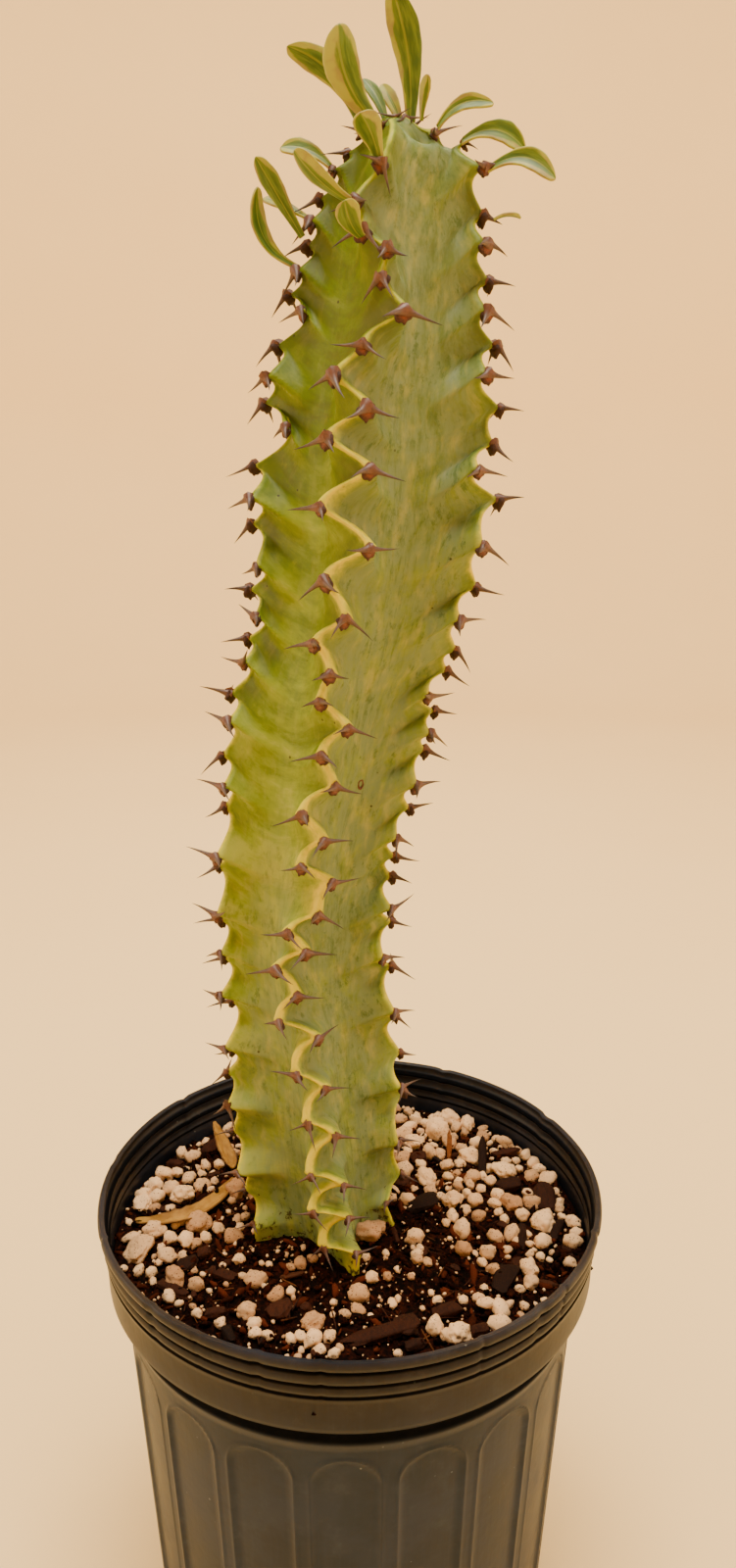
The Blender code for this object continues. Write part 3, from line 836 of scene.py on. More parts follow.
@dataclass(frozen=True)
class Skin:
    """The stem's waxy skin: green, olive and yellow, with grey valleys, fine streaks, pale crests, and painted
    shade in the hollows and painted light on the swellings beside the crests.
    """

    deep: Paint = paint(78, 91, 6)
    green: Paint = paint(85, 105, 14)
    olive: Paint = paint(104, 122, 28)
    yellow: Paint = paint(124, 142, 35)
    pale: Paint = paint(148, 158, 66)
    grey: Paint = paint(112, 130, 90)
    streak: Paint = paint(72, 96, 46)
    buff: Paint = paint(174, 170, 88)
    glow: Paint = paint(176, 178, 48)
    ridge: Paint = paint(212, 196, 34)
    ridge_green: Paint = paint(154, 160, 24)
    scar: Paint = paint(44, 32, 16)

    def material(self) -> bpy.types.Material:
        """Makes the material, in coats: flesh, valleys, streaks, crests and scars."""
        bench = Bench("stem_skin")
        place, run = bench.place(), bench.marked("run", vector=True)
        flank, ridge, swell = bench.marked("flank"), bench.marked("ridge"), bench.marked("swell")
        gold, dull, ripe = bench.marked("gold"), bench.marked("dull"), bench.marked("ripe")
        bands = run.stretched(0.4, 0.4, 1.0).grain(6.5, 4.0, 0.6, 0.4)
        strokes = run.stretched(0.3, 0.3, 1.0).grain(2.3, 5.0, 0.7, 0.6)
        mix = place.grain(24.0, 4.0, 0.6) * 0.6 + bands * 0.75 + strokes * 0.42 - 0.08
        # Painted shade and light: the swell mark makes the skin greener in the hollows beside the crest and
        # yellower on its swellings.
        mix = mix + swell * 0.13 + gold * 0.2
        low = place.axis("Z").ramp(0.32, 0.26) * dull.ramp(0.7, 1.0)
        mix = mix + low * ((place.grain(15.0, 3.0) - 0.5) * 0.9)
        patch = run.stretched(1.0, 1.0, 0.45).grain(5.0, 4.0, 0.65).ramp(0.35, 0.6)
        fine = run.stretched(1.0, 1.0, 0.1).grain(1.3, 5.0, 0.75)
        mottle = run.stretched(1.0, 1.0, 0.6).grain(2.2, 5.0, 0.75).ramp(0.5, 0.66)
        flecks = run.stretched(1.0, 1.0, 0.4).grain(3.4, 4.0, 0.6).ramp(0.48, 0.78)
        edge = ridge + (place.grain(3.6, 4.0, 0.65) - 0.5) * 1.25
        glow = bench.blend(ripe, self.yellow, self.glow)
        crest = bench.blend(ripe, self.ridge_green, self.ridge)
        crest = bench.blend(place.grain(5.0).ramp(0.5, 0.75) * 0.45, crest, self.yellow)
        dots = place.cells(6.5).ramp(0.07, 0.045) * place.grain(15.0, 1.0).ramp(0.5, 0.58)
        dirt_and_shade = (place.grain(3.4, 4.0, 0.7) + bench.marked("soiled") * 0.27).ramp(0.8, 0.86)
        colour = bench.layers(
            self.deep,
            (mix.ramp(0.52, 0.68), self.green),
            (mix.ramp(0.64, 0.84), self.olive),
            (mix.ramp(0.78, 0.98), self.yellow),
            (mix.ramp(0.94, 1.16), self.pale),
            ((flank + dull).ramp(0.75, 1.35) * dull * (patch * 0.6 + 0.4), self.grey),
            (fine.ramp(0.46, 0.7) * flank.ramp(0.35, 0.95) * (dull * 0.5 + 0.12), self.streak),
            (mottle * place.grain(11.0, 2.0).ramp(0.38, 0.58) * (dull * 0.55 + 0.22), self.streak),
            (flecks * (dull * 0.35 + 0.12), self.buff),
            (edge.ramp(0.05, 0.75) * 0.7, glow),
            (edge.ramp(0.5, 0.92) * 0.9, crest),
            ((dots | dirt_and_shade) * 0.85, self.scar),
        )
        return bench.done(
            colour, mottle * 0.12 + 0.46, fine.relief(0.05, bands.relief(0.3)), Specular_IOR_Level=0.17,
            Subsurface_Weight=0.25, Subsurface_Scale=0.003, Subsurface_Radius=(0.8, 1.0, 0.3),
        )


@dataclass(frozen=True)
class Thorn:
    """A spine: red-brown at its root, grey-brown along it and dark at its tip."""

    root: Paint = paint(98, 60, 46)
    middle: Paint = paint(86, 66, 60)
    tip: Paint = paint(42, 32, 32)

    def material(self) -> bpy.types.Material:
        """Makes the material."""
        bench = Bench("thorn")
        along = bench.marked("along")
        lines = bench.place().grain(0.6, 3.0)
        colour = bench.layers(
            self.root, (along.ramp(0.0, 0.3), self.middle), (along.ramp(0.4, 0.95), self.tip),
            (lines.ramp(0.45, 0.7) * 0.4, self.tip),
        )
        return bench.done(colour, 0.45, lines.relief(0.08), Specular_IOR_Level=0.5)


@dataclass(frozen=True)
class Shield:
    """A spine shield: horny, cracked, red-brown with a grey-tan middle and a dark rim, redder when young."""

    rim: Paint = paint(60, 36, 29)
    red: Paint = paint(108, 62, 47)
    tan: Paint = paint(140, 110, 96)
    young: Paint = paint(150, 74, 30)

    def material(self) -> bpy.types.Material:
        """Makes the material."""
        bench = Bench("spine_shield")
        cracks = bench.place().grain(0.9, 5.0, 0.75)
        inward = bench.marked("inward") + (cracks - 0.5) * 0.9
        warm = bench.blend(bench.marked("tone").ramp(0.35, 0.95), self.tan, self.young)
        colour = bench.layers(
            self.rim, (inward.ramp(0.05, 0.6), self.red), (inward.ramp(0.35, 0.95) * 0.65, warm)
        )
        return bench.done(colour, 0.62, cracks.relief(0.45), Specular_IOR_Level=0.35)


@dataclass(frozen=True)
class LeafSkin:
    """A young leaf: glossy green down its middle, cream-yellow at its margins, with a pale midrib."""

    green: Paint = paint(66, 94, 32)
    light: Paint = paint(100, 123, 48)
    cream: Paint = paint(156, 160, 60)
    buff: Paint = paint(142, 134, 70)

    def material(self) -> bpy.types.Material:
        """Makes the material."""
        bench = Bench("leaf_skin")
        sheet, across = bench.marked("sheet", vector=True), bench.marked("across")
        streaks = sheet.stretched(1.0, 0.12, 1.0).grain(0.9, 3.0, 0.6)
        wave = (sheet.stretched(1.0, 0.3, 1.0).grain(3.0) - 0.5) * 0.9
        tip = bench.marked("along").ramp(0.62, 1.0) * 0.35
        off = abs(across - bench.marked("lean")) + wave + tip + bench.marked("cream")
        pale = bench.blend(sheet.grain(5.0).ramp(0.4, 0.6), self.cream, self.buff)
        colour = bench.layers(
            self.green, (streaks.ramp(0.4, 0.65), self.light), (off.ramp(0.55, 0.95) * 0.6, self.light),
            (off.ramp(0.95, 1.12), pale), (abs(across).ramp(0.1, 0.03) * 0.45, self.cream),
        )
        return bench.done(
            colour, 0.45, streaks.relief(0.05),
            Specular_IOR_Level=0.3, Subsurface_Weight=0.15, Subsurface_Scale=0.0015,
        )


@dataclass(frozen=True)
class DrySkin:
    """A dead leaf: ochre and tan, veined, with brown specks and edges."""

    ochre: Paint = paint(132, 90, 24)
    tan: Paint = paint(170, 126, 52)
    brown: Paint = paint(76, 42, 18)

    def material(self) -> bpy.types.Material:
        """Makes the material."""
        bench = Bench("dry_leaf_skin")
        sheet = bench.marked("sheet", vector=True)
        cloud = sheet.stretched(1.0, 0.4, 1.0).grain(3.0, 4.0, 0.65)
        specks = bench.place().cells(1.7).ramp(0.16, 0.06) * 0.6
        rim = abs(bench.marked("across")).ramp(0.8, 1.0) * 0.7
        colour = bench.layers(self.ochre, (cloud.ramp(0.35, 0.65), self.tan), (specks | rim, self.brown))
        veins = sheet.stretched(1.0, 0.15, 1.0).grain(0.8, 3.0)
        return bench.done(colour, 0.68, veins.relief(0.15), Specular_IOR_Level=0.3)


# The pot


@dataclass
class Pot:
    """The thin-walled nursery pot, in one piece.

    Attributes:
        height: its height.
        wall: the thickness of its wall.
        front_panel: the turn of the panel nearest the front.
        panels: how many arched panels stand round it.
        half_angle: half a panel's width, in degrees round the pot.
        arch: height of a panel's arch above its springing.
        panel_top: depth of the arch's crown below the rim.
        panel_bottom: height of the panels' lower edge.
        panel_depth: how deep a panel is pressed in.
        bead: how far the panel's outline stands proud.
        corner: radius of a panel's lower corners.
        base_radius: radius of the wall where it meets the base.
        shoulder_drop: depth of the shoulder below the rim.
        shoulder_radius: radius of the wall at the shoulder.
        inner_drop: depth below the rim down to which the inside follows the collar.
        drains: how many drain holes the base has.
        drain_radius: their radius.
        drain_circle: radius of the circle that they lie on.
    """

    height: float = 165.0
    wall: float = 1.5
    front_panel: float = -91.3
    panels: int = 18
    half_angle: float = 8.0
    arch: float = 9.6
    panel_top: float = 40.5
    panel_bottom: float = 14.0
    panel_depth: float = 0.85
    bead: float = 0.28
    corner: float = 3.0
    base_radius: float = 66.9
    shoulder_drop: float = 37.0
    shoulder_radius: float = 74.3
    inner_drop: float = 30.0
    drains: int = 5
    drain_radius: float = 5.5
    drain_circle: float = 44.0

    # Radius and drop below the rim, from the top of the lip down to the shoulder
    COLLAR = (
        (81.3, 0.12), (81.9, 0.0), (82.2, 0.3), (82.45, 0.9), (82.5, 1.7), (82.38, 2.5), (81.9, 3.2),
        (81.1, 3.75), (80.75, 4.3), (80.95, 4.9), (81.4, 5.5), (81.62, 6.2), (81.62, 7.1), (81.35, 7.9),
        (80.75, 8.6),
        (80.3, 9.2), (80.4, 9.8), (80.72, 10.4), (80.85, 11.1), (80.75, 11.8), (80.42, 12.4), (80.36, 12.9),
        (80.52, 13.4), (80.5, 14.0), (80.28, 14.6), (80.2, 15.6), (80.12, 18.0), (80.02, 21.0), (79.95, 23.8),
        (79.8, 25.0), (79.4, 25.8), (78.5, 26.6), (77.2, 27.5), (76.3, 28.4), (75.9, 29.2), (75.75, 30.4),
        (75.72, 32.0), (75.6, 33.2), (75.2, 34.4), (74.7, 35.8), (74.3, 37.0),
    )
    # Turn, half width in degrees and depth of the small kinks in the collar
    KINKS = (
        (-134.0, 0.8, 0.7), (-121.5, 0.5, 0.5), (-108.0, 0.7, 0.75), (-95.6, 0.45, 0.6), (-63.5, 0.6, 0.55),
        (-48.0, 1.1, 0.8), (-40.0, 0.5, 0.5), (-20.0, 0.8, 0.6), (28.0, 1.4, 0.8), (63.0, 1.2, 0.75),
        (112.0, 1.5, 0.5), (140.0, 1.0, 0.65), (171.0, 0.9, 0.4), (200.0, 0.7, 0.4),
    )

    def build(self) -> None:
        """Makes, cuts and dresses the pot."""
        turns = self.turns()
        rows = [self.ring(turns, radius, height, inner) for radius, height, inner in self.profile()]
        pot = grid_piece("pot_shell", np.array(rows))
        self.drill(pot)
        smooth(pot, 50.0)
        settle(pot, "pot", BlackPlastic().material(), "pot")

    def turns(self) -> np.ndarray:
        """The turns of the mesh's columns, closest together along the panels' edges."""
        cell = 360.0 / self.panels
        steps = [self.half_angle * math.cos(math.pi * (16 - index) / 16) for index in range(17)]
        steps += [8.18, 8.42, 8.8, 9.4, 10.6, 11.2, 11.58, 11.82]
        turns = [self.front_panel + cell * panel + step for panel in range(self.panels) for step in steps]
        return np.array([*turns, turns[0] + 360.0])

    def profile(self) -> list[tuple[float, float, bool]]:
        """The section from the base's centre, up the outside, over the lip and down the inside."""
        top = self.height
        rows = [(0.0, 0.0, False), (30.0, 0.0, False), (60.0, 0.0, False)]
        rows += [(65.2, 0.0, False), (66.1, 0.25, False), (66.7, 0.85, False), (66.9, 1.5, False)]
        heights = [4.0, 8.0, *np.linspace(11.0, 19.0, 14), *np.linspace(24.0, 108.0, 15)]
        heights += [*np.linspace(111.0, 127.4, 29)]
        rows += [(self.wall_radius(height), float(height), False) for height in heights]
        rows += [(radius, top - drop, False) for radius, drop in reversed(self.COLLAR)]
        inner = [
            (radius - self.wall, top - max(drop, 0.35), True)
            for radius, drop in self.COLLAR[1:]
            if drop < self.inner_drop
        ]
        rows += [(80.6, top - 0.14, False), *inner]
        rows += [(73.4, 131.0, True), (72.4, 122.0, True), (65.3, 3.0, True), (64.0, 1.5, True)]
        rows += [(30.0, 1.5, True), (0.0, 1.5, True)]
        return rows

    def wall_radius(self, height: float) -> float:
        """The outer radius of the plain tapered wall at a height."""
        share = height / (self.height - self.shoulder_drop)
        return self.base_radius + (self.shoulder_radius - self.base_radius) * share

    def panel_relief(self, turns: np.ndarray, radius: float, height: float) -> np.ndarray:
        """How far the wall stands out or in because of the arched panels.

        Args:
            turns: the columns' turns.
            radius: the wall's radius here.
            height: the height above the floor.

        Returns:
            A distance for each column, less than 0 where a panel is pressed in.
        """
        cell = 360.0 / self.panels
        turn = (turns - self.front_panel + cell / 2) % cell - cell / 2
        half = radius * math.radians(self.half_angle)
        across = radius * np.radians(turn)
        spring = self.height - self.panel_top - self.arch
        if height > spring:
            away = np.hypot(across / half, (height - spring) / self.arch) * half - half
        elif height >= self.panel_bottom + self.corner:
            away = np.abs(across) - half
        else:
            beside = np.maximum(0.0, np.abs(across) - (half - self.corner))
            away = np.hypot(beside, self.panel_bottom + self.corner - height) - self.corner
        pressed = 1 - smooth_step(-1.5, 0.1, away)
        bead = np.exp(-((away - 0.35) / 0.5) ** 2)
        return self.bead * bead - self.panel_depth * pressed

    def ring(self, turns: np.ndarray, radius: float, height: float, inner: bool) -> np.ndarray:
        """One row of the mesh.

        Args:
            turns: the columns' turns.
            radius: the row's radius.
            height: its height.
            inner: whether the row is on the inside of the wall.

        Returns:
            The row's points.
        """
        angle = np.radians(turns)
        drop = self.height - height
        out = np.full(len(turns), radius)
        if 2.0 < height < self.height - self.shoulder_drop and not inner:
            out = out + self.panel_relief(turns, radius, height)
        rise = np.zeros(len(turns))
        if drop < self.shoulder_drop and radius > 60:
            sway = 0.5 + 0.25 * np.sin(3 * angle + 0.6) + 0.15 * np.sin(7 * angle + 1.9)
            sway = sway + 0.1 * np.sin(13 * angle)
            fade = max(0.0, 1 - drop / self.shoulder_drop)
            out = out - 0.35 * (1 - sway) * fade
            rise = rise - 0.45 * (1 - sway) * max(0.0, 1 - drop / 9.0)
            for turn, half, depth in self.KINKS:
                away = (turns - turn + 180.0) % 360.0 - 180.0
                dent = np.exp(-((away / half) ** 2))
                out = out - depth * dent * (max(0.0, 1 - drop / 14.5) ** 0.5 if drop < 14.5 else 0.0)
                rise = rise - 0.3 * depth * dent * max(0.0, 1 - drop / 6.0)
        return np.stack([out * np.cos(angle), out * np.sin(angle), height + rise], axis=1)

    def drill(self, pot: Piece) -> None:
        """Cuts the drain holes through the pot's base."""
        drills = []
        for index in range(self.drains):
            angle = math.radians(index * 360.0 / self.drains + 90.0)
            deselect()
            reach = self.drain_circle * MM
            bpy.ops.mesh.primitive_cylinder_add(
                vertices=32, radius=self.drain_radius * MM, depth=8.0 * MM,
                location=(reach * math.cos(angle), reach * math.sin(angle), 0.0),
            )
            drills.append(bpy.context.active_object)
        deselect()
        for drill in drills:
            drill.select_set(True)
        bpy.context.view_layer.objects.active = drills[0]
        bpy.ops.object.join()
        cutter = bpy.context.active_object
        cut = pot.modifiers.new("drains", "BOOLEAN")
        cut.operation, cut.object, cut.solver = "DIFFERENCE", cutter, "EXACT"
        apply_modifiers(pot)
        bpy.data.objects.remove(cutter)


# The stem


class Rib(Enum):
    """The stem's four ribs, by where each one points; its value is that turn in degrees."""

    FRONT = -90.0
    RIGHT = 0.0
    BACK = 90.0
    LEFT = 180.0


@dataclass(frozen=True)
class Areole:
    """One place where spines grow, on a rib's crest.

    Attributes:
        height: its height above the floor.
        out: its distance from the stem's axis along the rib.
        side: its distance sideways from the rib's middle.
    """

    height: float
    out: float
    side: float


@dataclass(frozen=True)
class Seat:
    """Where a spine shield sits.

    Attributes:
        root: its middle, on the crest.
        face: the way it faces.
        across: the direction to its right-hand side.
        young: how young it is, from 0 to 1.
        size: its size, about 1.
    """

    root: Vector
    face: Vector
    across: Vector
    young: float
    size: float


@dataclass
class Crest:
    """One rib's crest, read off at evenly spaced heights.

    Attributes:
        areoles: its areoles from the foot up.
        heights: the heights at which the next three are given.
        out: the crest's distance from the axis.
        side: the crest's distance sideways.
        plump: half the crest's thickness.
    """

    areoles: list[Areole]
    heights: np.ndarray
    out: np.ndarray
    side: np.ndarray
    plump: np.ndarray


@dataclass
class Stem:
    """The ribbed stem with its spine shields and spines.

    Attributes:
        foot: height of its buried end.
        tip: height of its tip.
        rows: rows of the skin's mesh.
        notch: how far the crest dips between two areoles.
        lag: how far below its areole a wave lies, high up the stem, where it reaches the valley.
        valley_share: distance of a valley from the axis, as a share of the rib's radius, seen along the rib.
        cap: share of a rib's half that its rounded crest takes up.
        spread: the angle of each spine of a pair from where its shield faces, in degrees.
        areole_turn: how far a shield turns towards the side that its areole lies on, in degrees.
        flare: how far the right rib spreads at its foot.
    """

    foot: float = 139.0
    tip: float = 481.5
    rows: int = 412
    notch: float = 2.9
    lag: float = 9.5
    valley_share: float = 0.342
    cap: float = 0.13
    spread: float = 64.0
    areole_turn: float = 36.0
    flare: float = 1.2

    # Height, centre x, centre y, rib radius, twist of the four ribs, width of the crest's zigzag
    STATIONS = (
        (134.0, -6.0, -1.2, 24.6, 9.0, 2.0),
        (150.0, -6.5, -1.2, 25.2, 9.0, 3.4),
        (162.0, -7.6, -1.0, 26.4, 8.0, 5.0),
        (185.0, -9.8, -0.5, 26.6, 6.5, 4.8),
        (215.0, -12.0, 0.2, 25.6, 2.0, 4.2),
        (245.0, -14.2, 0.8, 24.8, -4.0, 3.9),
        (275.0, -13.2, 1.0, 26.2, 4.0, 3.8),
        (305.0, -9.2, 0.6, 28.8, 3.0, 3.8),
        (328.0, -4.9, 0.0, 29.8, -1.0, 3.4),
        (345.0, 0.6, -0.4, 30.4, -9.0, 3.8),
        (370.0, 5.4, -0.6, 33.0, -13.0, 5.8),
        (390.0, 7.0, -0.4, 33.8, -13.0, 6.2),
        (410.0, 8.4, 0.0, 31.6, -13.0, 5.4),
        (430.0, 10.6, 0.4, 28.2, -11.0, 3.8),
        (448.0, 12.6, 0.8, 25.8, -15.0, 2.8),
        (462.0, 14.4, 1.0, 22.4, -17.0, 2.2),
        (469.0, 16.0, 1.0, 20.0, -18.0, 1.8),
        (474.0, 16.8, 1.2, 17.4, -18.0, 1.4),
        (477.0, 16.0, 1.6, 13.6, -18.0, 1.0),
        (479.5, 14.4, 2.2, 9.6, -18.0, 0.6),
        (481.5, 13.2, 2.6, 6.4, -18.0, 0.3),
    )
    # Places near the tip that are pulled: x, y, height, reach, and how far along each axis
    PULLS = (
        (22.7, 1.0, 476.6, 2.4, 0.6, 0.0, 1.8), (26.4, 0.0, 475.8, 2.6, 0.0, 0.0, -3.6),
        (31.0, 0.0, 475.0, 2.2, 0.8, 0.0, 1.4), (19.2, -3.0, 477.6, 3.4, 0.0, 1.6, -3.6),
        (15.6, 3.6, 480.6, 2.2, 0.2, 0.0, 1.6), (11.0, 3.0, 480.6, 1.8, -0.3, 0.0, 1.2),
    )
    # For each face, counted from the front right one round to the front left one: at a height, how far the
    # skin leans to green (-1) or yellow (1), and how much grey its valley has
    FACES = (
        ((140.0, 1.0, 0.9), (180.0, 0.9, 1.0), (215.0, 0.5, 1.0), (250.0, 0.0, 1.0), (310.0, 1.0, 1.0),
         (340.0, 0.6, 1.0), (400.0, -0.5, 1.0), (440.0, -0.9, 1.0), (475.0, -0.9, 1.0)),
        ((140.0, 0.3, 0.4), (300.0, 0.0, 0.5), (470.0, -0.5, 0.5)),
        ((140.0, 0.4, 0.3), (300.0, 0.3, 0.3), (470.0, -0.6, 0.2)),
        ((140.0, 1.2, 0.8), (180.0, 1.0, 0.85), (225.0, 0.9, 0.8), (260.0, 1.1, 0.6), (310.0, 0.4, 0.1),
         (350.0, 0.0, 0.0), (390.0, -0.3, 0.0), (440.0, -1.0, 0.0), (475.0, -1.0, 0.1)),
    )
    # How much yellower the valley of the front left face is, round which height, and its reach up and down
    STRIPE = (0.9, 262.0, 42.0)
    # Width of the crest's colour on its two sides, by height: towards the left and the right of the front rib,
    # and on the other ribs
    CREST_WIDTHS = (
        (150.0, 4.2, 2.2, 1.6), (230.0, 4.0, 2.0, 1.5), (250.0, 5.6, 1.9, 1.4), (285.0, 5.2, 1.9, 1.4),
        (310.0, 3.2, 2.6, 1.3), (390.0, 1.9, 2.9, 1.3), (425.0, 1.0, 1.3, 0.9), (475.0, 0.7, 0.7, 0.7),
    )
    # How far the front rib's valleys stray sideways, by height
    FRONT_SWAY = (
        (150.0, 0.0), (232.0, 0.0), (244.0, -2.4), (262.0, -1.2), (276.0, 3.0), (290.0, 0.0), (320.0, 1.6),
        (342.0, -2.2), (360.0, 0.0), (401.0, -0.3), (417.0, -2.3), (433.0, 4.6), (441.0, 4.4), (452.0, -2.5),
        (462.0, -3.0), (475.0, 0.0),
    )
    # Height of each areole on the front rib, and its distance to the right of the stem's middle
    FRONT_AREOLES = (
        (157.0, 9.0), (160.2, -1.0), (170.0, 8.1), (173.2, -2.9), (181.6, 7.8), (185.8, -2.2), (198.5, 6.8),
        (203.0, -1.7), (214.2, 5.0), (218.8, -3.7), (230.6, 4.3), (235.4, -7.2), (244.2, -1.0), (252.4, -7.4),
        (257.9, 1.8), (264.3, -4.0), (269.6, 4.8), (280.0, 8.3), (285.2, -1.4), (292.8, 4.4), (300.9, -3.2),
        (309.2, 5.0), (318.2, -0.3), (326.0, 5.5), (333.4, -4.3), (341.0, -4.2), (349.0, -10.7), (355.9, -3.6),
        (365.6, -10.8), (374.2, -0.2), (384.3, -13.8), (393.7, -1.3), (401.3, -13.1), (408.6, -3.1),
        (416.3, -12.5), (423.6, -5.9), (431.3, 3.6), (439.2, -3.0), (446.1, -2.1), (450.6, -8.9),
        (457.8, -11.6), (466.5, -6.7),
    )
    # Height of each areole on a side rib, its x on the silhouette, and 1 where it leans forward or -1 back
    LEFT_AREOLES = (
        (155.6, -31.7, 1), (162.0, -35.0, -1), (174.3, -36.7, 1), (183.0, -38.6, -1), (196.6, -41.2, 1),
        (203.0, -40.5, -1), (210.5, -38.3, -1), (215.5, -40.0, 1), (227.7, -37.8, -1), (233.0, -40.9, 1),
        (242.6, -39.8, -1), (247.4, -40.2, 1), (256.6, -40.2, -1), (261.2, -40.7, 1), (275.3, -40.2, -1),
        (280.5, -40.0, 1), (294.0, -37.7, -1), (302.0, -37.5, 1), (309.6, -38.1, -1), (321.4, -35.6, 1),
        (328.4, -35.4, -1), (338.6, -30.8, 1), (344.4, -30.0, -1), (351.7, -26.6, 1), (358.6, -29.6, -1),
        (366.0, -26.0, 1), (377.5, -30.0, -1), (385.0, -27.5, 1), (394.0, -28.4, -1), (404.0, -17.0, 1),
        (411.0, -23.8, -1), (417.5, -22.4, 1), (426.4, -19.8, -1), (434.6, -12.4, 1), (439.6, -16.8, -1),
        (444.8, -13.6, 1), (452.1, -10.6, -1), (457.2, -9.8, 1), (463.8, -7.1, -1), (469.8, -3.6, 1),
        (474.4, 0.4, -1), (478.6, 4.0, 1),
    )
    RIGHT_AREOLES = (
        (158.6, 11.8, 1), (162.8, 17.2, -1), (175.6, 17.1, -1), (180.4, 15.8, 1), (193.6, 18.2, -1),
        (200.4, 17.0, 1), (208.0, 17.4, -1), (221.4, 15.1, -1), (227.2, 14.6, 1), (240.4, 15.0, -1),
        (246.4, 10.8, 1), (255.7, 13.8, -1), (262.6, 13.4, 1), (270.2, 13.6, -1), (276.8, 14.4, -1),
        (284.9, 14.8, 1), (292.5, 19.1, -1), (301.7, 20.6, 1), (310.9, 24.8, -1), (317.6, 24.6, 1),
        (323.2, 27.9, -1), (328.9, 23.6, 1), (335.6, 29.4, -1), (341.9, 31.5, -1), (351.9, 32.0, 1),
        (360.3, 36.8, -1), (372.8, 37.3, 1), (385.0, 42.6, -1), (393.0, 35.6, 1), (399.6, 40.4, -1),
        (409.2, 42.0, -1), (417.7, 37.6, 1), (425.3, 40.6, -1), (433.4, 37.6, 1), (441.4, 38.4, -1),
        (450.0, 37.0, 1), (457.6, 36.4, -1), (468.5, 35.9, 1), (475.1, 31.0, -1), (477.4, 22.7, 1),
    )
    # How many areoles the back rib has, the lowest one's height and the distance between them
    BACK_AREOLES, BACK_LOWEST, BACK_PITCH = 43, 157.0, 7.72
    # Where the closer rows of the skin's cap start, and how many they are
    CAP_START, CAP_ROWS = 470.6, 34
    # Height and span over which crests turn from ripe gold to green, and the least they keep
    RIPE_UNTIL, RIPE_SPAN, RIPE_LEAST = 395.0, 45.0, 0.15
    # Height up to which the foot is soiled, and the span below it over which the soil thickens
    SOILED_UNTIL, SOILED_SPAN = 176.0, 24.0
    # Height above which areoles grow younger, and the span to the youngest
    YOUNG_FROM, YOUNG_SPAN = 300.0, 140.0
    # Heights over which the waves' lag sets in
    LAG_HEIGHTS = (120.0, 360.0)
    # Places of a rib's columns from its crest at 0 towards the valley at 1
    HALF_COLUMNS = (
        0.0, 0.045, 0.09, 0.13, 0.165, 0.205, 0.25, 0.3, 0.355, 0.415, 0.48, 0.545, 0.61, 0.68, 0.75, 0.82,
        0.88, 0.94,
    )
    MARKS = ("flank", "ridge", "swell", "gold", "dull", "ripe", "soiled", "run")
    # Size of the shields and spines by height
    SPINE_SIZES = (
        (150.0, 0.72), (200.0, 0.84), (260.0, 1.0), (330.0, 1.04), (400.0, 1.12), (462.0, 1.1), (474.0, 0.76),
    )
    # Least and greatest length of a spine, and the share of them that are stunted
    LENGTHS, STUNTED = (6.4, 8.8), 0.1
    # How far the spines hang down, in degrees, by height
    DROOPS = ((150.0, 16.0), (230.0, 12.0), (330.0, 8.0), (385.0, 22.0), (440.0, 30.0), (480.0, 14.0))
    # Places of the young spines round the growth point: x, y, height, where they face, in degrees, and size
    TIP_SPINES = (
        (15.6, 2.4, 481.6, -60.0, 0.6), (13.2, 2.6, 482.0, -110.0, 0.55), (9.6, 0.6, 479.8, -130.0, 0.6),
        (4.0, -1.6, 477.8, -150.0, 0.7), (19.6, 1.4, 476.6, -80.0, 0.6), (18.4, 3.0, 479.4, -50.0, 0.5),
    )

    # Places of the dried rings of fallen buds: x, y, height, where they face, in degrees, and radius
    BUD_RINGS = ((3.6, -6.3, 303.6, -52.3, 1.0),)

    def middle(self, height: float) -> Vector:
        """The stem's axis at a height."""
        return Vector((between(self.STATIONS, height, 1), between(self.STATIONS, height, 2), height))

    def directions(self, rib: Rib, height: float) -> tuple[Vector, Vector]:
        """The directions out along a rib and sideways across it, at a height."""
        angle = math.radians(rib.value + between(self.STATIONS, height, 4))
        across, ahead = math.cos(angle), math.sin(angle)
        return Vector((across, ahead, 0.0)), Vector((-ahead, across, 0.0))

    def sway(self, rib: Rib, height: float) -> float:
        """How far one rib strays sideways at a height."""
        if rib is Rib.FRONT:
            return between(self.FRONT_SWAY, height)
        return 1.5 * math.sin(2 * math.pi * (height / 118.0 + list(Rib).index(rib) / 3))

    def areoles(self, rib: Rib) -> list[Areole]:
        """One rib's areoles, from the foot up.

        Args:
            rib: the rib.

        Returns:
            Its areoles, read from the tables, or drawn for the back rib.
        """
        found = []
        if rib is Rib.BACK:
            chance = random.Random(42)
            for index in range(self.BACK_AREOLES):
                height = self.BACK_LOWEST + self.BACK_PITCH * index + chance.uniform(-0.8, 0.8)
                side = between(self.STATIONS, height, 5) * (1 if index % 2 else -1) * chance.uniform(0.85, 1.1)
                out = between(self.STATIONS, height, 3) + 1.5
                found.append(Areole(height, out, side + self.sway(rib, height)))
            return found
        tables = {Rib.FRONT: self.FRONT_AREOLES, Rib.LEFT: self.LEFT_AREOLES, Rib.RIGHT: self.RIGHT_AREOLES}
        for height, across, *lean in tables[rib]:
            radius, zigzag = between(self.STATIONS, height, 3), between(self.STATIONS, height, 5)
            outward, sideways = self.directions(rib, height)
            if rib is Rib.FRONT:
                out = radius + 1.4 * min(1.0, radius / 20.0)
                side = (across - outward.x * out) / sideways.x
            else:
                forward = lean[0] * (1.0 if rib is Rib.LEFT else -1.0)
                side = zigzag * forward + self.sway(rib, height)
                out = (across - self.middle(height).x - sideways.x * side) / outward.x
                out = min(max(out, radius * 0.62), radius + 2.6)
            found.append(Areole(height, out, side))
        return found

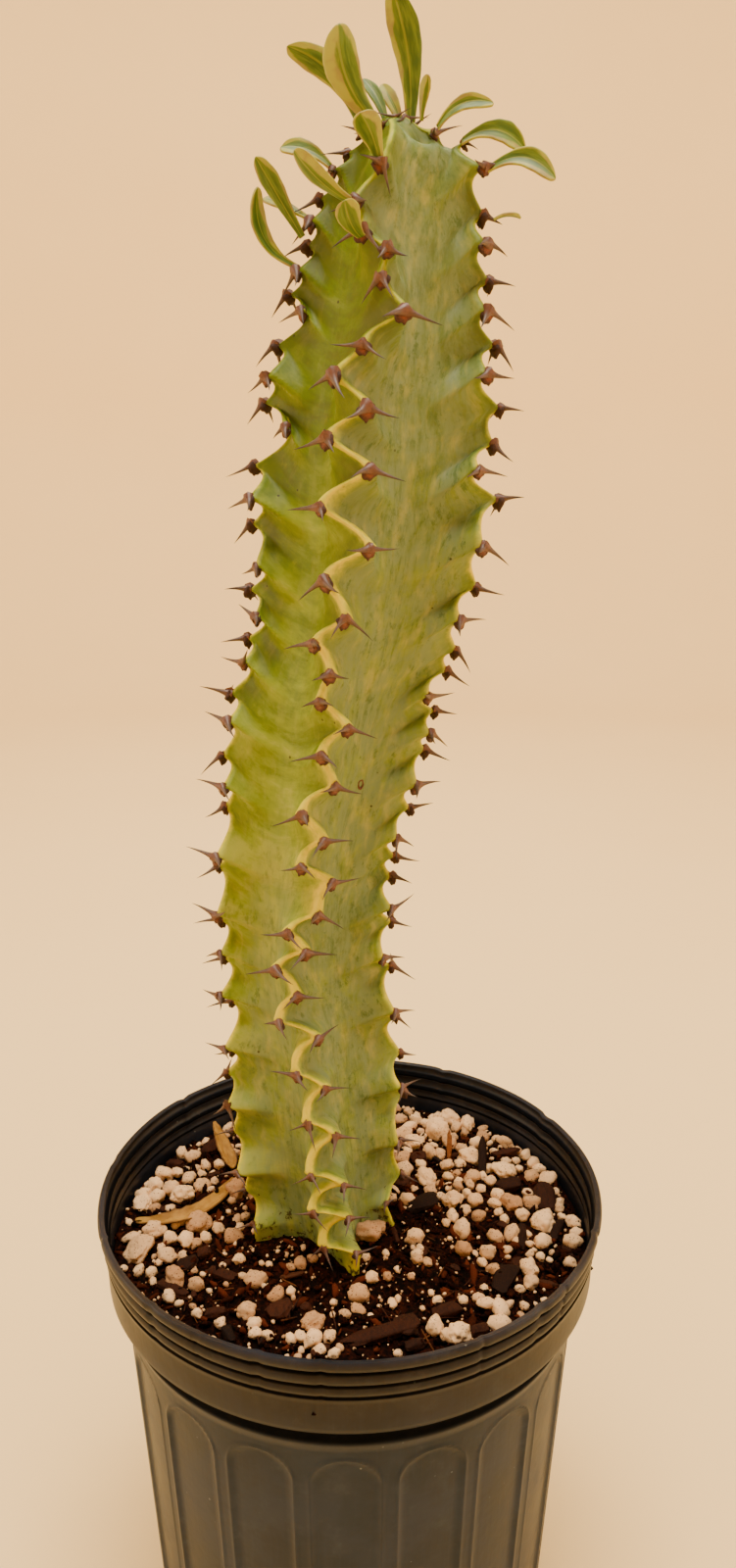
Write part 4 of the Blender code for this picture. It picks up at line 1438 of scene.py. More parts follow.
    def crest(self, rib: Rib) -> Crest:
        """Draws one rib's crest through its areoles, dipping between them.

        Args:
            rib: the rib.

        Returns:
            Its crest.
        """
        areoles = self.areoles(rib)
        heights = np.arange(self.foot - 12.0, self.tip + 12.0, 0.25)
        base = read_all(self.STATIONS, heights, 3)
        ends = [(self.foot - 20.0, base[0], 0.0), *[(a.height, a.out, a.side) for a in areoles]]
        ends.append((self.tip + 20.0, base[-1] * 0.6, 0.0))
        spots = np.array(ends)
        out = np.interp(heights, spots[:, 0], spots[:, 1])
        side = np.interp(heights, spots[:, 0], spots[:, 2])
        if rib is Rib.RIGHT:
            out += self.flare * np.clip((157.0 - heights) / 9.0, 0.0, 1.0)
        above = heights > areoles[-1].height
        out[above] = np.minimum(out[above], base[above] + 0.6)
        chance = random.Random(90 + list(Rib).index(rib))
        for low, high in zip(spots[1:-2], spots[2:-1]):
            here = (heights >= low[0]) & (heights < high[0])
            fall = (high[0] - heights[here]) / (high[0] - low[0])
            early = chance.uniform(1.7, 2.3) if low[2] < high[2] else chance.uniform(1.0, 1.4)
            path = 1 - (1 - fall) ** early
            path = path * 0.6 + smooth_step(0.0, 1.0, path) * 0.4
            side[here] = high[2] + (low[2] - high[2]) * path
            dip = min(self.notch * chance.uniform(0.8, 1.1), 0.42 * (high[0] - low[0]))
            dip *= min(1.0, low[1] / 14.0)
            out[here] -= dip * np.sin(math.pi * fall**0.62) ** 1.3
        thin = 1.0 + 0.22 * np.sin(heights / 3.1 + chance.uniform(0.0, 6.0)) * np.sin(heights / 7.7)
        plump = 1.3 * thin
        for areole in areoles:
            near = np.exp(-(((heights - areole.height + 0.3) / 1.7) ** 2))
            plump = np.maximum(plump, 1.1 + 0.8 * near)
        for values in (side, out):
            values[3:-3] = np.convolve(values, np.ones(5) / 5, "same")[3:-3]
        return Crest(areoles, heights, out, side, plump * np.minimum(1.0, base / 20.0))

    def columns(self) -> list[float]:
        """Places across one rib, from its valley at -1 over its crest at 0 and short of the next valley."""
        return [-1.0, *[-place for place in reversed(self.HALF_COLUMNS[1:])], *self.HALF_COLUMNS]

    def build(self) -> None:
        """Makes and dresses the skin, the shields and the spines."""
        crests = {rib: self.crest(rib) for rib in Rib}
        self.build_skin(crests)
        self.build_spines(crests)

    def build_skin(self, crests: dict[Rib, Crest]) -> None:
        """Makes the skin as one closed mesh of rows up the stem.

        Args:
            crests: each rib's crest.
        """
        heights = np.concatenate([
            np.linspace(self.foot, 470.0, self.rows - self.CAP_ROWS),
            np.linspace(self.CAP_START, self.tip - 0.25, self.CAP_ROWS),
        ])
        base = read_all(self.STATIONS, heights, 3)
        twist = np.radians(read_all(self.STATIONS, heights, 4))
        middle = np.stack([read_all(self.STATIONS, heights, 1), read_all(self.STATIONS, heights, 2)])
        closing = np.sqrt(np.clip((self.tip - heights) / 2.5, 0.0, 1.0))
        points, marks = [], {name: [] for name in self.MARKS}
        yellower, stripe_height, stripe_reach = self.STRIPE
        stripe = np.exp(-(((heights - stripe_height) / stripe_reach) ** 2))
        zigzag = np.maximum(1.0, read_all(self.STATIONS, heights, 5))
        lag = self.lag * smooth_step(*self.LAG_HEIGHTS, heights)
        ripe = np.clip(1.0 - (heights - self.RIPE_UNTIL) / self.RIPE_SPAN, self.RIPE_LEAST, 1.0)
        soiled = np.clip((self.SOILED_UNTIL - heights) / self.SOILED_SPAN, 0.0, 1.0)
        for number, rib in enumerate(Rib):
            crest = crests[rib]
            angle = math.radians(rib.value) + twist
            outward = np.stack([np.cos(angle), np.sin(angle)])
            sideways = np.stack([-np.sin(angle), np.cos(angle)])
            sway = np.array([self.sway(rib, height) for height in heights])
            for place in self.columns():
                near = abs(place)
                way = 1.0 if place > 0 else -1.0
                share = 0.0 if near <= self.cap else (near - self.cap) / (1 - self.cap)
                shifted = heights + lag * (1 - (1 - share) ** 1.5)
                crest_out = np.interp(shifted, crest.heights, crest.out)
                crest_side = np.interp(shifted, crest.heights, crest.side)
                plump = np.interp(shifted, crest.heights, crest.plump)
                turn = min(near / self.cap, 1.0) * math.pi / 2
                valley = base * self.valley_share
                slope = (base - plump - valley) / (valley - plump)
                spread = share + (slope - 1) / 3.2 * (share**4.2 - share)
                out = base - plump + (valley - base + plump) * share + (crest_out - base) * (1 - share) ** 1.9
                out += plump * math.cos(turn) if near <= self.cap else 0.0
                wide = plump * math.sin(turn) + (valley - plump) * spread
                lean = (crest_side - sway) * (1 - share) ** 1.8
                stray = sway * np.clip((out / base - self.valley_share) / (1 - self.valley_share), 0.0, 1.2)
                side = way * wide + lean + stray
                flat = middle + (outward * out + sideways * side) * closing
                points.append(np.stack([flat[0], flat[1], heights], axis=1))
                column = 3 if rib is not Rib.FRONT else 2 if way > 0 else 1
                width = read_all(self.CREST_WIDTHS, heights, column)
                off = plump * turn + share * base * 0.7
                face = self.FACES[(number if way > 0 else number - 1) % 4]
                marks["flank"].append(np.full(len(heights), share))
                marks["ridge"].append(np.clip(1 - off / (2 * width), 0.0, 1.0))
                # The swell mark paints shade into the hollows beside the crest and light onto its swellings.
                swell_shading = np.clip(way * (crest_side - sway) / zigzag, -1.2, 1.2)
                marks["swell"].append(swell_shading * (1 - share) ** 0.7)
                striped = smooth_step(0.5, 0.85, share) if face is self.FACES[3] else 0.0
                marks["gold"].append(read_all(face, heights, 1) + yellower * striped * stripe)
                marks["dull"].append(read_all(face, heights, 2))
                marks["ripe"].append(ripe)
                marks["soiled"].append(soiled)
                around = math.pi / 2 * (number + way * share / 2)
                girth = base * 0.9
                run = np.stack([girth * math.cos(around), girth * math.sin(around), shifted], axis=1)
                marks["run"].append(run * MM)
        grid = np.stack(points, axis=1)
        grid += self.unevenness(grid)
        for x, y, height, reach, *pull in self.PULLS:
            away = np.linalg.norm(grid - np.array((x, y, height)), axis=2, keepdims=True)
            grid += np.exp(-((away / reach) ** 2)) * np.array(pull)
        laid = {name: np.stack(columns, axis=1) for name, columns in marks.items()}
        foot, tip = grid[0].mean(axis=0), grid[-1].mean(axis=0) + np.array((0.0, 0.0, 0.25))
        ends = [np.tile(end, (1, grid.shape[1], 1)) for end in (foot, tip)]
        grid = np.concatenate([ends[0], grid, ends[1]])
        grid = np.concatenate([grid, grid[:, :1]], axis=1)
        for name, values in laid.items():
            values = np.concatenate([values[:1], values, values[-1:]])
            laid[name] = np.concatenate([values, values[:, :1]], axis=1)
        skin = grid_piece("stem_skin", grid, laid)
        face_out(skin)
        smooth(skin)
        settle(skin, "stem", Skin().material(), "stem")

    def unevenness(self, grid: np.ndarray) -> np.ndarray:
        """Small dents and swellings of the flesh.

        Args:
            grid: the skin's points, as rows of columns.

        Returns:
            How far each point moves in or out, as a vector.
        """
        flat = grid.reshape(-1, 3)
        centres = np.array([self.middle(height) for height in grid[:, 0, 2]])
        away = grid - centres[:, None, :]
        away[..., 2] = 0.0
        length = np.maximum(np.linalg.norm(away, axis=2, keepdims=True), 1.0)
        size = 0.3 * lumps(flat, 11.0, 2.0) + 0.1 * lumps(flat, 4.0, 4.0)
        return away / length * size.reshape(*grid.shape[:2], 1) * np.minimum(1.0, length / 15.0)

    def build_spines(self, crests: dict[Rib, Crest]) -> None:
        """Makes a shield and a pair of spines at every areole.

        Args:
            crests: each rib's crest.
        """
        thorn = self.thorn_template()
        plates = [self.shield_template(float(seed)) for seed in range(5)]
        thorns, shields = [], []
        for number, rib in enumerate(Rib):
            chance = random.Random(70 + number)
            for areole in crests[rib].areoles:
                outward, sideways = self.directions(rib, areole.height)
                root = self.middle(areole.height) + outward * areole.out + sideways * areole.side
                lean = areole.side - self.sway(rib, areole.height)
                turn = self.areole_turn * (1 if lean > 0 else -1) * min(1.0, abs(lean) / 2.2)
                turn = math.radians(turn + chance.uniform(-10.0, 10.0))
                lift = max(0.0, areole.height - 468.0) * 0.09
                face = outward * math.cos(turn) + sideways * math.sin(turn) + Vector((0.0, 0.0, lift))
                face.normalize()
                young = min(1.0, max(0.0, (areole.height - self.YOUNG_FROM) / self.YOUNG_SPAN))
                size = chance.uniform(0.92, 1.16) * between(self.SPINE_SIZES, areole.height)
                seat = Seat(root, face, UP.cross(face).normalized(), young, size)
                shields.append(self.shield(chance.choice(plates), seat, size, chance))
                thorns += self.thorns(thorn, seat, chance)
        chance = random.Random(75)
        for x, y, height, facing, size in self.TIP_SPINES:
            facing = math.radians(facing)
            face = Vector((math.cos(facing), math.sin(facing), 0.9)).normalized()
            seat = Seat(Vector((x, y, height)), face, UP.cross(face).normalized(), 1.0, size)
            shields.append(self.shield(chance.choice(plates), seat, 0.7 * size, chance))
            thorns += self.thorns(thorn, seat, chance)
        ring = self.ring_template()
        for x, y, height, facing, radius in self.BUD_RINGS:
            turned = Matrix.Rotation(math.radians(facing), 4, "Z") @ Matrix.Rotation(math.pi / 2, 4, "Y")
            place = Matrix.Translation((x, y, height)) @ turned @ Matrix.Scale(radius, 4)
            shields.append(Copy(ring, place, 0.2))
        pads = strewn("spine_shields", shields)
        smooth(pads)
        settle(pads, "stem", Shield().material())
        spines = strewn("spines", thorns)
        smooth(spines, 60.0)
        settle(spines, "stem", Thorn().material())

    @staticmethod
    def shield(shape: Template, seat: Seat, size: float, chance: random.Random) -> Copy:
        """One shield, its back sunk in the crest and its narrow end hanging down.

        Args:
            shape: its shape.
            seat: where it sits.
            size: its own size.
            chance: the draw that varies it.

        Returns:
            The copy.
        """
        top = seat.face.cross(seat.across)
        tilt = math.radians(chance.uniform(-6.0, 14.0))
        front = seat.face * math.cos(tilt) + top * math.sin(tilt)
        top = top * math.cos(tilt) - seat.face * math.sin(tilt)
        roll = math.radians(chance.uniform(-14.0, 14.0))
        right = seat.across * math.cos(roll) + top * math.sin(roll)
        top = top * math.cos(roll) - seat.across * math.sin(roll)
        axes = (right * 1.85 * size, top * 2.0 * size * chance.uniform(0.9, 1.1), front * 0.85 * size)
        matrix = fitted(axes, seat.root - seat.face * 0.6 - top * 0.5)
        return Copy(shape, matrix, min(1.0, 0.8 * seat.young + 0.3 * chance.random()))

    def thorns(self, shape: Template, seat: Seat, chance: random.Random) -> list[Copy]:
        """One diverging pair of spines, from the upper part of its shield.

        Args:
            shape: a spine's shape.
            seat: where the shield sits.
            chance: the draw that varies them.

        Returns:
            Both copies.
        """
        top = seat.face.cross(seat.across)
        shared = chance.uniform(-12.0, 10.0)
        pair = []
        for way in (-1.0, 1.0):
            spread = math.radians(self.spread + chance.uniform(-14.0, 12.0))
            droop = math.radians(between(self.DROOPS, seat.root.z) + shared + chance.gauss(0.0, 15.0))
            flat = seat.face * math.cos(spread) + seat.across * way * math.sin(spread)
            along = (flat * math.cos(droop) - top * math.sin(droop)).normalized()
            length = chance.uniform(*self.LENGTHS) * (1.0 if chance.random() > self.STUNTED else 0.65)
            length *= 0.5 + 0.5 * seat.size
            second = along.cross(top).normalized()
            third = along.cross(second)
            roll = chance.uniform(0.0, 2 * math.pi)
            second, third = (
                second * math.cos(roll) + third * math.sin(roll),
                third * math.cos(roll) - second * math.sin(roll),
            )
            stout = chance.uniform(0.95, 1.2) * seat.size
            root = seat.root + seat.face * 0.1 + seat.across * way * 0.45 * seat.size + top * 0.3
            pair.append(Copy(shape, fitted((along * length, second * stout, third * stout), root), seat.young))
        return pair

    @staticmethod
    def thorn_template() -> Template:
        """A stout-rooted spine 1 long that tapers to a point and bends a little."""
        # Place along the spine, and radius in millimetres
        profile = (
            (-0.1, 1.4), (0.0, 1.2), (0.07, 0.93), (0.15, 0.7), (0.28, 0.5), (0.48, 0.34), (0.7, 0.2),
            (0.88, 0.09), (1.0, 0.012),
        )
        turns = np.linspace(0.0, 2 * math.pi, 8)
        points = np.array([
            [
                (place, radius * math.cos(turn) + 1.1 * place * (1 - place), radius * math.sin(turn))
                for turn in turns
            ]
            for place, radius in profile
        ])
        ends = [np.tile(points[index].mean(axis=0), (1, len(turns), 1)) for index in (0, -1)]
        shape = grid_piece("thorn", np.concatenate([ends[0], points, ends[1]]) / MM)
        face_out(shape)
        along = np.clip(points_of(shape)[:, 0] * MM, 0.0, 1.0)
        return Template.of(shape, {"along": along})

    @staticmethod
    def ring_template() -> Template:
        """A rough ring about 1 in radius, taller than wide."""
        deselect()
        bpy.ops.mesh.primitive_torus_add(
            major_segments=20, minor_segments=8, major_radius=1.0, minor_radius=0.32
        )
        shape = bpy.context.active_object
        points = points_of(shape) * MM
        rough = 1 + 0.25 * lumps(points, 0.7, 5.0)
        lay_points(shape, points * rough[:, None] * np.array((1.25, 0.85, 1.0)) / MM)
        return Template.of(shape, {"inward": np.full(len(points), 0.35)})

    @staticmethod
    def shield_template(seed: float) -> Template:
        """A rough pad about 1 in radius, narrower at its lower end, with lobes where its spines stand.

        Args:
            seed: shifts its lobes and lumps.

        Returns:
            The pad, which knows how far inward each point lies.
        """
        shape = ball(3)
        points = points_of(shape) * MM
        across, up, out = points.T.copy()
        turn = np.arctan2(up, across)
        flat = np.hypot(across, up)
        narrow = np.where(up < 0, 1.0 - 0.5 * np.abs(up) ** 1.3, 1.0 - 0.2 * up)
        lobes = 1.0 + 0.16 * np.cos(2 * (turn - 0.15)) * flat + 0.1 * np.cos(5 * turn + seed) * flat
        points[:, 0] = across * narrow * lobes
        points[:, 1] = np.where(up < 0, up * 1.15, up * 0.85) * lobes
        points[:, 2] = out * (0.85 + 0.3 * np.exp(-((up / 0.35) ** 2)) * np.abs(across))
        rough = 1 + 0.13 * lumps(points, 0.6, 3 * seed) + 0.1 * lumps(points, 0.25, 3 * seed + 1)
        lay_points(shape, points * rough[:, None] / MM)
        inward = np.clip(1 - flat, 0.0, 1.0) * (out > 0)
        return Template.of(shape, {"inward": inward})


# The leaves


@dataclass(frozen=True)
class Leaf:
    """One young leaf.

    Attributes:
        rib: the rib that it grows on.
        height: height of its base.
        across: how far its base lies sideways from the rib's middle.
        right: how far it reaches to the right.
        forward: how far it reaches to the front.
        rise: how far it reaches up.
        bow: how far its middle bends away from a straight line.
        width: its greatest width.
        roll: how far its blade is turned about its length.
        cream: how much of it is cream, from 0 to 1.
        lean: how far its green lies to one side, from -1 to 1.
    """

    rib: Rib
    height: float
    across: float
    right: float
    forward: float
    rise: float
    bow: float
    width: float
    roll: float
    cream: float
    lean: float


@dataclass
class Leaves:
    """The young leaves round the stem's tip.

    Attributes:
        stem: the stem that they grow on.
        thickness: the thickness of a blade.
        channel: how far a blade's margins stand above its midrib, as a share of its width.
        stations: rows of a blade's mesh.
        strips: columns of a blade's mesh.
    """

    stem: Stem
    thickness: float = 0.72
    channel: float = 0.14
    stations: int = 30
    strips: int = 11

    LEAVES = (
        Leaf(Rib.BACK, 486.0, -2.5, -5.2, 6.0, 29.2, 3.0, 8.4, 30.0, 0.12, -0.28),
        Leaf(Rib.FRONT, 477.0, -1.2, -9.6, 5.0, 20.5, -3.2, 9.6, 65.0, 0.5, -0.3),
        Leaf(Rib.LEFT, 480.5, 1.0, -18.5, 4.0, 17.0, 3.5, 7.4, 70.0, 0.3, 0.1),
        Leaf(Rib.FRONT, 467.2, 2.4, -5.0, 8.0, 8.8, 1.0, 7.2, 30.0, 0.36, 0.25),
        Leaf(Rib.BACK, 483.5, 9.6, -6.7, -6.0, 13.4, 1.4, 3.8, -40.0, -0.1, 0.0),
        Leaf(Rib.BACK, 481.5, 1.6, -5.4, -4.0, 11.5, 0.5, 4.2, -50.0, 0.85, 0.0),
        Leaf(Rib.RIGHT, 481.5, 0.0, 1.9, 3.0, 9.8, 0.8, 4.2, -50.0, 0.6, -0.3),
        Leaf(Rib.RIGHT, 478.2, -1.0, 14.2, 0.0, 6.0, 3.0, 5.2, 76.0, 0.3, 0.1),
        Leaf(Rib.RIGHT, 475.5, 0.0, 16.8, -1.5, -2.6, 3.8, 7.0, 74.0, 0.22, -0.2),
        Leaf(Rib.RIGHT, 467.7, 0.0, 17.6, 7.0, -3.0, 4.4, 6.4, 70.0, 0.3, -0.1),
        Leaf(Rib.RIGHT, 456.4, 0.0, 7.0, 0.0, 0.4, 0.8, 3.0, 0.0, 0.25, 0.0),
        Leaf(Rib.LEFT, 471.0, 0.0, -13.5, -2.0, 4.8, 1.8, 6.0, -60.0, 0.45, 0.0),
        Leaf(Rib.FRONT, 457.2, -0.6, -14.7, 5.0, 10.7, -1.4, 6.0, 30.0, 0.36, 0.2),
        Leaf(Rib.FRONT, 448.4, -0.9, -4.0, 6.0, 7.1, -1.4, 6.6, 25.0, 0.3, 0.05),
        Leaf(Rib.LEFT, 453.6, 0.6, -12.2, 3.0, 18.9, 0.0, 5.8, 55.0, 0.22, 0.1),
        Leaf(Rib.LEFT, 458.5, 0.8, -12.7, -5.0, 5.8, 0.4, 4.4, -40.0, 0.7, 0.0),
        Leaf(Rib.LEFT, 446.2, 0.0, -11.2, 3.0, 19.3, -5.0, 6.0, -72.0, 0.32, -0.15),
        Leaf(Rib.BACK, 468.0, 0.0, 4.0, -17.0, 11.0, 4.0, 7.0, 0.0, 0.4, 0.1),
        Leaf(Rib.BACK, 458.0, 0.0, -5.0, -16.0, 10.0, 3.0, 6.4, 0.0, 0.45, -0.1),
        Leaf(Rib.BACK, 444.0, 1.5, 3.0, -14.0, 7.0, 1.5, 5.4, 0.0, 0.35, 0.0),
    )

    def build(self) -> None:
        """Makes and dresses every leaf."""
        finish = LeafSkin().material()
        for number, leaf in enumerate(self.LEAVES, 1):
            node = f"leaf_{number:02d}"
            piece = self.blade(leaf, number, node)
            settle(piece, "leaf", finish, node)

    @staticmethod
    def outline(share: float) -> float:
        """The outline of a spoon-shaped blade.

        Args:
            share: the place along its length, from 0 to 1.

        Returns:
            Half its width there, as a share of its widest half.
        """
        if share < 0.7:
            swell = max(0.0, share) / 0.7
            return 0.34 + 0.66 * (0.45 * swell + 0.55 * swell * swell * (3 - 2 * swell))
        fall = (share - 0.7) / 0.3
        return max(0.05, 0.86 * math.sqrt(max(0.0, 1 - fall**2.6)) + 0.14 * (1 - fall))

    def blade(self, leaf: Leaf, number: int, node: str) -> Piece:
        """Models one blade where its CAD solid is.

        Args:
            leaf: the leaf.
            number: its number, which seeds its small waves.
            node: the CAD node that it stands for.

        Returns:
            The finished blade.
        """
        outward, sideways = self.stem.directions(leaf.rib, leaf.height)
        radius = between(self.stem.STATIONS, leaf.height, 3)
        start = self.stem.middle(leaf.height) + outward * radius
        start += sideways * (leaf.across + self.stem.sway(leaf.rib, leaf.height))
        reach = Vector((leaf.right, -leaf.forward, leaf.rise))
        level = reach.cross(UP).normalized()
        arch = level.cross(reach).normalized()
        turn = Matrix.Rotation(math.radians(leaf.roll), 3, reach)
        side, face = turn @ level, turn @ arch
        chance = random.Random(300 + number)
        phase, beat = chance.uniform(0.0, 6.3), chance.uniform(2.2, 3.4)
        rows, marks = [], {"along": [], "across": [], "sheet": []}
        for share in np.linspace(-0.03, 1.0, self.stations):
            middle = start + reach * share + arch * leaf.bow * 4 * share * (1 - share)
            half = leaf.width / 2 * self.outline(share)
            row = []
            for place in np.linspace(-1.0, 1.0, self.strips):
                edge = abs(place)
                nick = 1.0 + 0.025 * math.sin(31.0 * share + 5 * phase + 3 * place) * (edge > 0.9)
                lift = half * 2 * self.channel * edge**1.35
                late = 0.9 if place > 0 else 0.0
                wave = 0.05 * leaf.width * math.sin(beat * math.pi * share + phase + late)
                lift += wave * edge**2 * min(1.0, max(0.0, share) * 3) * (1 - 0.5 * share)
                row.append(middle + side * half * place * nick + face * lift)
                marks["along"].append(share)
                marks["across"].append(place)
                marks["sheet"].append((half * place * MM, share * reach.length * MM, number * 0.03))
            rows.append(row)
        points = np.array(rows)
        laid = {name: np.array(values) for name, values in marks.items()}
        count = points.shape[0] * points.shape[1]
        laid["cream"], laid["lean"] = np.full(count, leaf.cream), np.full(count, leaf.lean)
        piece = grid_piece(f"{node}_blade", points, laid)
        thicken(piece, self.thickness)
        self.fit(piece, node)
        smooth(piece)
        return piece

    @staticmethod
    def fit(piece: Piece, node: str) -> None:
        """Brings a piece to where its CAD node was seated, inside that node's box.

        Args:
            piece: the piece.
            node: the node that it stands for.
        """
        low, high = (np.array(corner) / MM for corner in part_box(node))
        points = points_of(piece)
        least, most = points.min(axis=0), points.max(axis=0)
        shrink = np.minimum(1.0, (high - low) / (most - least))
        lay_points(piece, (points - (least + most) / 2) * shrink + (low + high) / 2)


# The potting mix and what lies on it


@dataclass
class Soil:
    """The potting mix with its crumbs, perlite, bark and fibres.

    Attributes:
        eye: the camera, by which the grains that the photograph shows are placed.
        stem: the stem, which stands in the mix.
        roughness: height of the surface's broad lumps.
        grain: distance between them.
        calm_edge: how near the wall the surface grows level.
        inner_radius: how far out the perlite may reach.
        foot_height: height at which the stem's foot is taken to stand in the mix.
    """

    eye: Eye
    stem: Stem
    roughness: float = 1.1
    grain: float = 17.0
    calm_edge: float = 12.0
    inner_radius: float = 78.3
    foot_height: float = 152.0

    # Radius and height of the bed's side, from its upper edge down to its base
    SIDE = ((78.0, 146.2), (78.0, 141.0), (73.3, 136.6), (72.1, 128.0), (64.9, 3.2), (62.5, 1.9))
    # Radius and height of its surface
    TOP = ((0.0, 150.0), (14.0, 150.3), (28.0, 150.2), (40.0, 149.6), (54.0, 148.6), (67.0, 147.4))

    # Distance between the small lumps on the bed, their seed and their height
    LUMPS = ((6.5, 4.0, 1.1), (3.2, 6.0, 0.8), (1.5, 8.0, 0.5))
    # Perlite that the photograph doesn't place: least and greatest y, how many, least and greatest radius
    OTHER_GRAINS = ((8.0, 78.0, 160, 1.6, 4.2), (-78.0, 78.0, 230, 0.5, 1.4))
    # How many specks of perlite, small chips, crumbs and fibres are drawn, and within which radius
    SPECKS, SPECK_REACH = 2200, 77.0
    SMALL_CHIPS, CHIP_REACH = 46, 73.0
    CRUMBS, CRUMB_REACH = 3200, 77.6
    FIBRES, FIBRE_REACH = 150, 70.0
    # The patch in front of the stem with few small grains: its x and y, and its reach along each
    BARE_PATCH = (8.0, -42.0, 36.0, 20.0)
    # The patch where the specks lie thickest: its x, y and reach
    SPECKLED_PATCH = (8.0, -40.0, 30.0)

    # Places of the larger grains in the photograph: a crop's left edge, top edge and scale, then for each
    # grain its place in the crop, its width there, and if need be its tone and its height over its width
    GRAINS = (
        (60, 1080, 0.2041, (
            (615, 475, 72), (665, 490, 74), (735, 535, 62), (690, 550, 46), (800, 530, 62), (595, 570, 64),
            (530, 580, 92), (480, 632, 82), (425, 680, 78), (490, 690, 82), (415, 722, 108, 0.2, 0.5),
            (565, 655, 92), (650, 600, 74), (622, 680, 112, 0.2, 0.9), (715, 635, 84, 0.5),
            (892, 655, 112, 0.9, 1.1), (830, 315, 58), (852, 350, 66), (700, 822, 112, 0.7), (625, 812, 58),
            (475, 862, 110), (360, 895, 96, 0.4, 0.6), (400, 950, 150, 0.5, 0.6), (555, 900, 70, 0.2, 1.3),
            (735, 895, 60), (690, 925, 60, 0.7), (640, 905, 96), (545, 985, 90, 0.4), (622, 990, 60),
            (515, 950, 52), (500, 1020, 46), (580, 1095, 112, 0.95), (685, 1130, 88, 0.7), (460, 1070, 68),
            (470, 1118, 46), (400, 1060, 64), (550, 1190, 72), (600, 1225, 44), (808, 1325, 58),
            (690, 1275, 56), (800, 850, 62), (870, 885, 86, 0.8), (890, 812, 58, 0.6), (905, 1005, 62),
            (828, 1032, 34), (990, 1105, 92, 0.6), (920, 1090, 48), (1090, 1180, 84, 0.8), (1160, 1165, 52),
            (935, 1265, 92, 0.6), (965, 1318, 56), (982, 1372, 60), (1045, 1385, 58), (990, 862, 52),
            (1045, 872, 58, 1.0), (930, 790, 52, 0.5), (905, 845, 50), (735, 420, 46), (700, 432, 36),
            (770, 575, 38), (352, 820, 40), (520, 795, 50), (585, 835, 48), (318, 672, 22), (265, 748, 18),
            (445, 630, 40), (760, 655, 40),
        )),
        (400, 1040, 0.2295, (
            (200, 490, 122), (362, 450, 86), (50, 510, 82), (98, 548, 88), (112, 430, 38), (285, 480, 58),
            (380, 550, 66), (345, 612, 96), (425, 510, 38), (465, 534, 48), (165, 590, 80), (212, 602, 60),
            (150, 705, 100, 0.3, 0.7), (170, 765, 62, 0.6), (250, 700, 48), (295, 720, 44), (270, 800, 92),
            (270, 872, 60), (326, 850, 56), (395, 755, 48), (435, 720, 60), (500, 672, 104, 0.2, 0.8),
            (602, 600, 58), (625, 642, 68), (652, 668, 62), (690, 710, 86, 0.4, 0.7), (605, 775, 50),
            (745, 815, 38, 0.3, 1.4), (530, 815, 94, 1.0, 0.9), (370, 805, 80, 0.4), (385, 875, 62, 0.9),
            (312, 930, 88), (475, 860, 44, 0.2, 1.4), (580, 870, 70), (500, 890, 50), (530, 950, 80, 0.5),
            (552, 988, 40), (460, 968, 72, 0.6), (425, 1035, 80, 0.5), (510, 1025, 48), (370, 1045, 34),
            (318, 1025, 80, 0.9, 1.4), (670, 900, 112), (670, 985, 84), (615, 1000, 40), (805, 902, 68),
            (820, 948, 56), (805, 990, 88, 0.4), (790, 1082, 58), (755, 880, 44), (660, 1055, 42),
            (615, 1042, 40), (610, 1110, 100), (618, 1170, 74), (570, 1200, 44, 0.3, 1.8),
            (450, 1110, 60, 0.7), (105, 968, 84), (125, 1022, 48), (115, 1070, 56, 0.6), (200, 1250, 50),
            (315, 1250, 52, 0.2, 1.3), (25, 1245, 40), (410, 1200, 50), (385, 1240, 56),
            (428, 1262, 92, 0.3, 0.6), (480, 1290, 88), (522, 1268, 48), (478, 1350, 96, 0.3, 0.7),
            (188, 1365, 96), (300, 1395, 112, 0.2, 0.9), (250, 1410, 76), (590, 1275, 44), (85, 1140, 34),
            (85, 318, 20), (45, 318, 34), (132, 326, 16), (700, 1072, 34), (455, 590, 40), (550, 630, 40),
            (240, 905, 40), (250, 745, 46), (400, 1080, 46),
        )),
        (200, 1220, 0.2424, (
            (722, 150, 132, 0.75, 0.8), (772, 132, 62, 0.7), (690, 165, 60, 0.7), (740, 345, 58),
            (715, 260, 40), (800, 242, 36), (685, 412, 90, 0.6), (680, 478, 60, 0.7), (805, 340, 42, 0.8),
            (905, 342, 34, 1.0), (580, 450, 38), (575, 500, 30), (625, 498, 50, 0.6), (735, 510, 38),
            (212, 480, 82, 0.6), (250, 352, 88, 0.6), (245, 540, 62), (240, 580, 48), (300, 590, 56),
            (340, 412, 62, 0.8), (400, 402, 40), (490, 530, 108, 0.75, 0.8), (495, 602, 86), (562, 592, 60),
            (440, 592, 58), (400, 602, 50), (520, 655, 58), (580, 665, 50), (605, 640, 40, 0.6),
            (100, 540, 48), (850, 430, 34), (825, 455, 44), (440, 285, 60, 0.8), (400, 300, 40, 0.7),
            (490, 265, 46, 0.8), (180, 265, 44), (112, 292, 30), (990, 410, 34), (1018, 442, 44),
            (850, 665, 40), (930, 245, 50), (975, 280, 44, 0.6),
        )),
    )
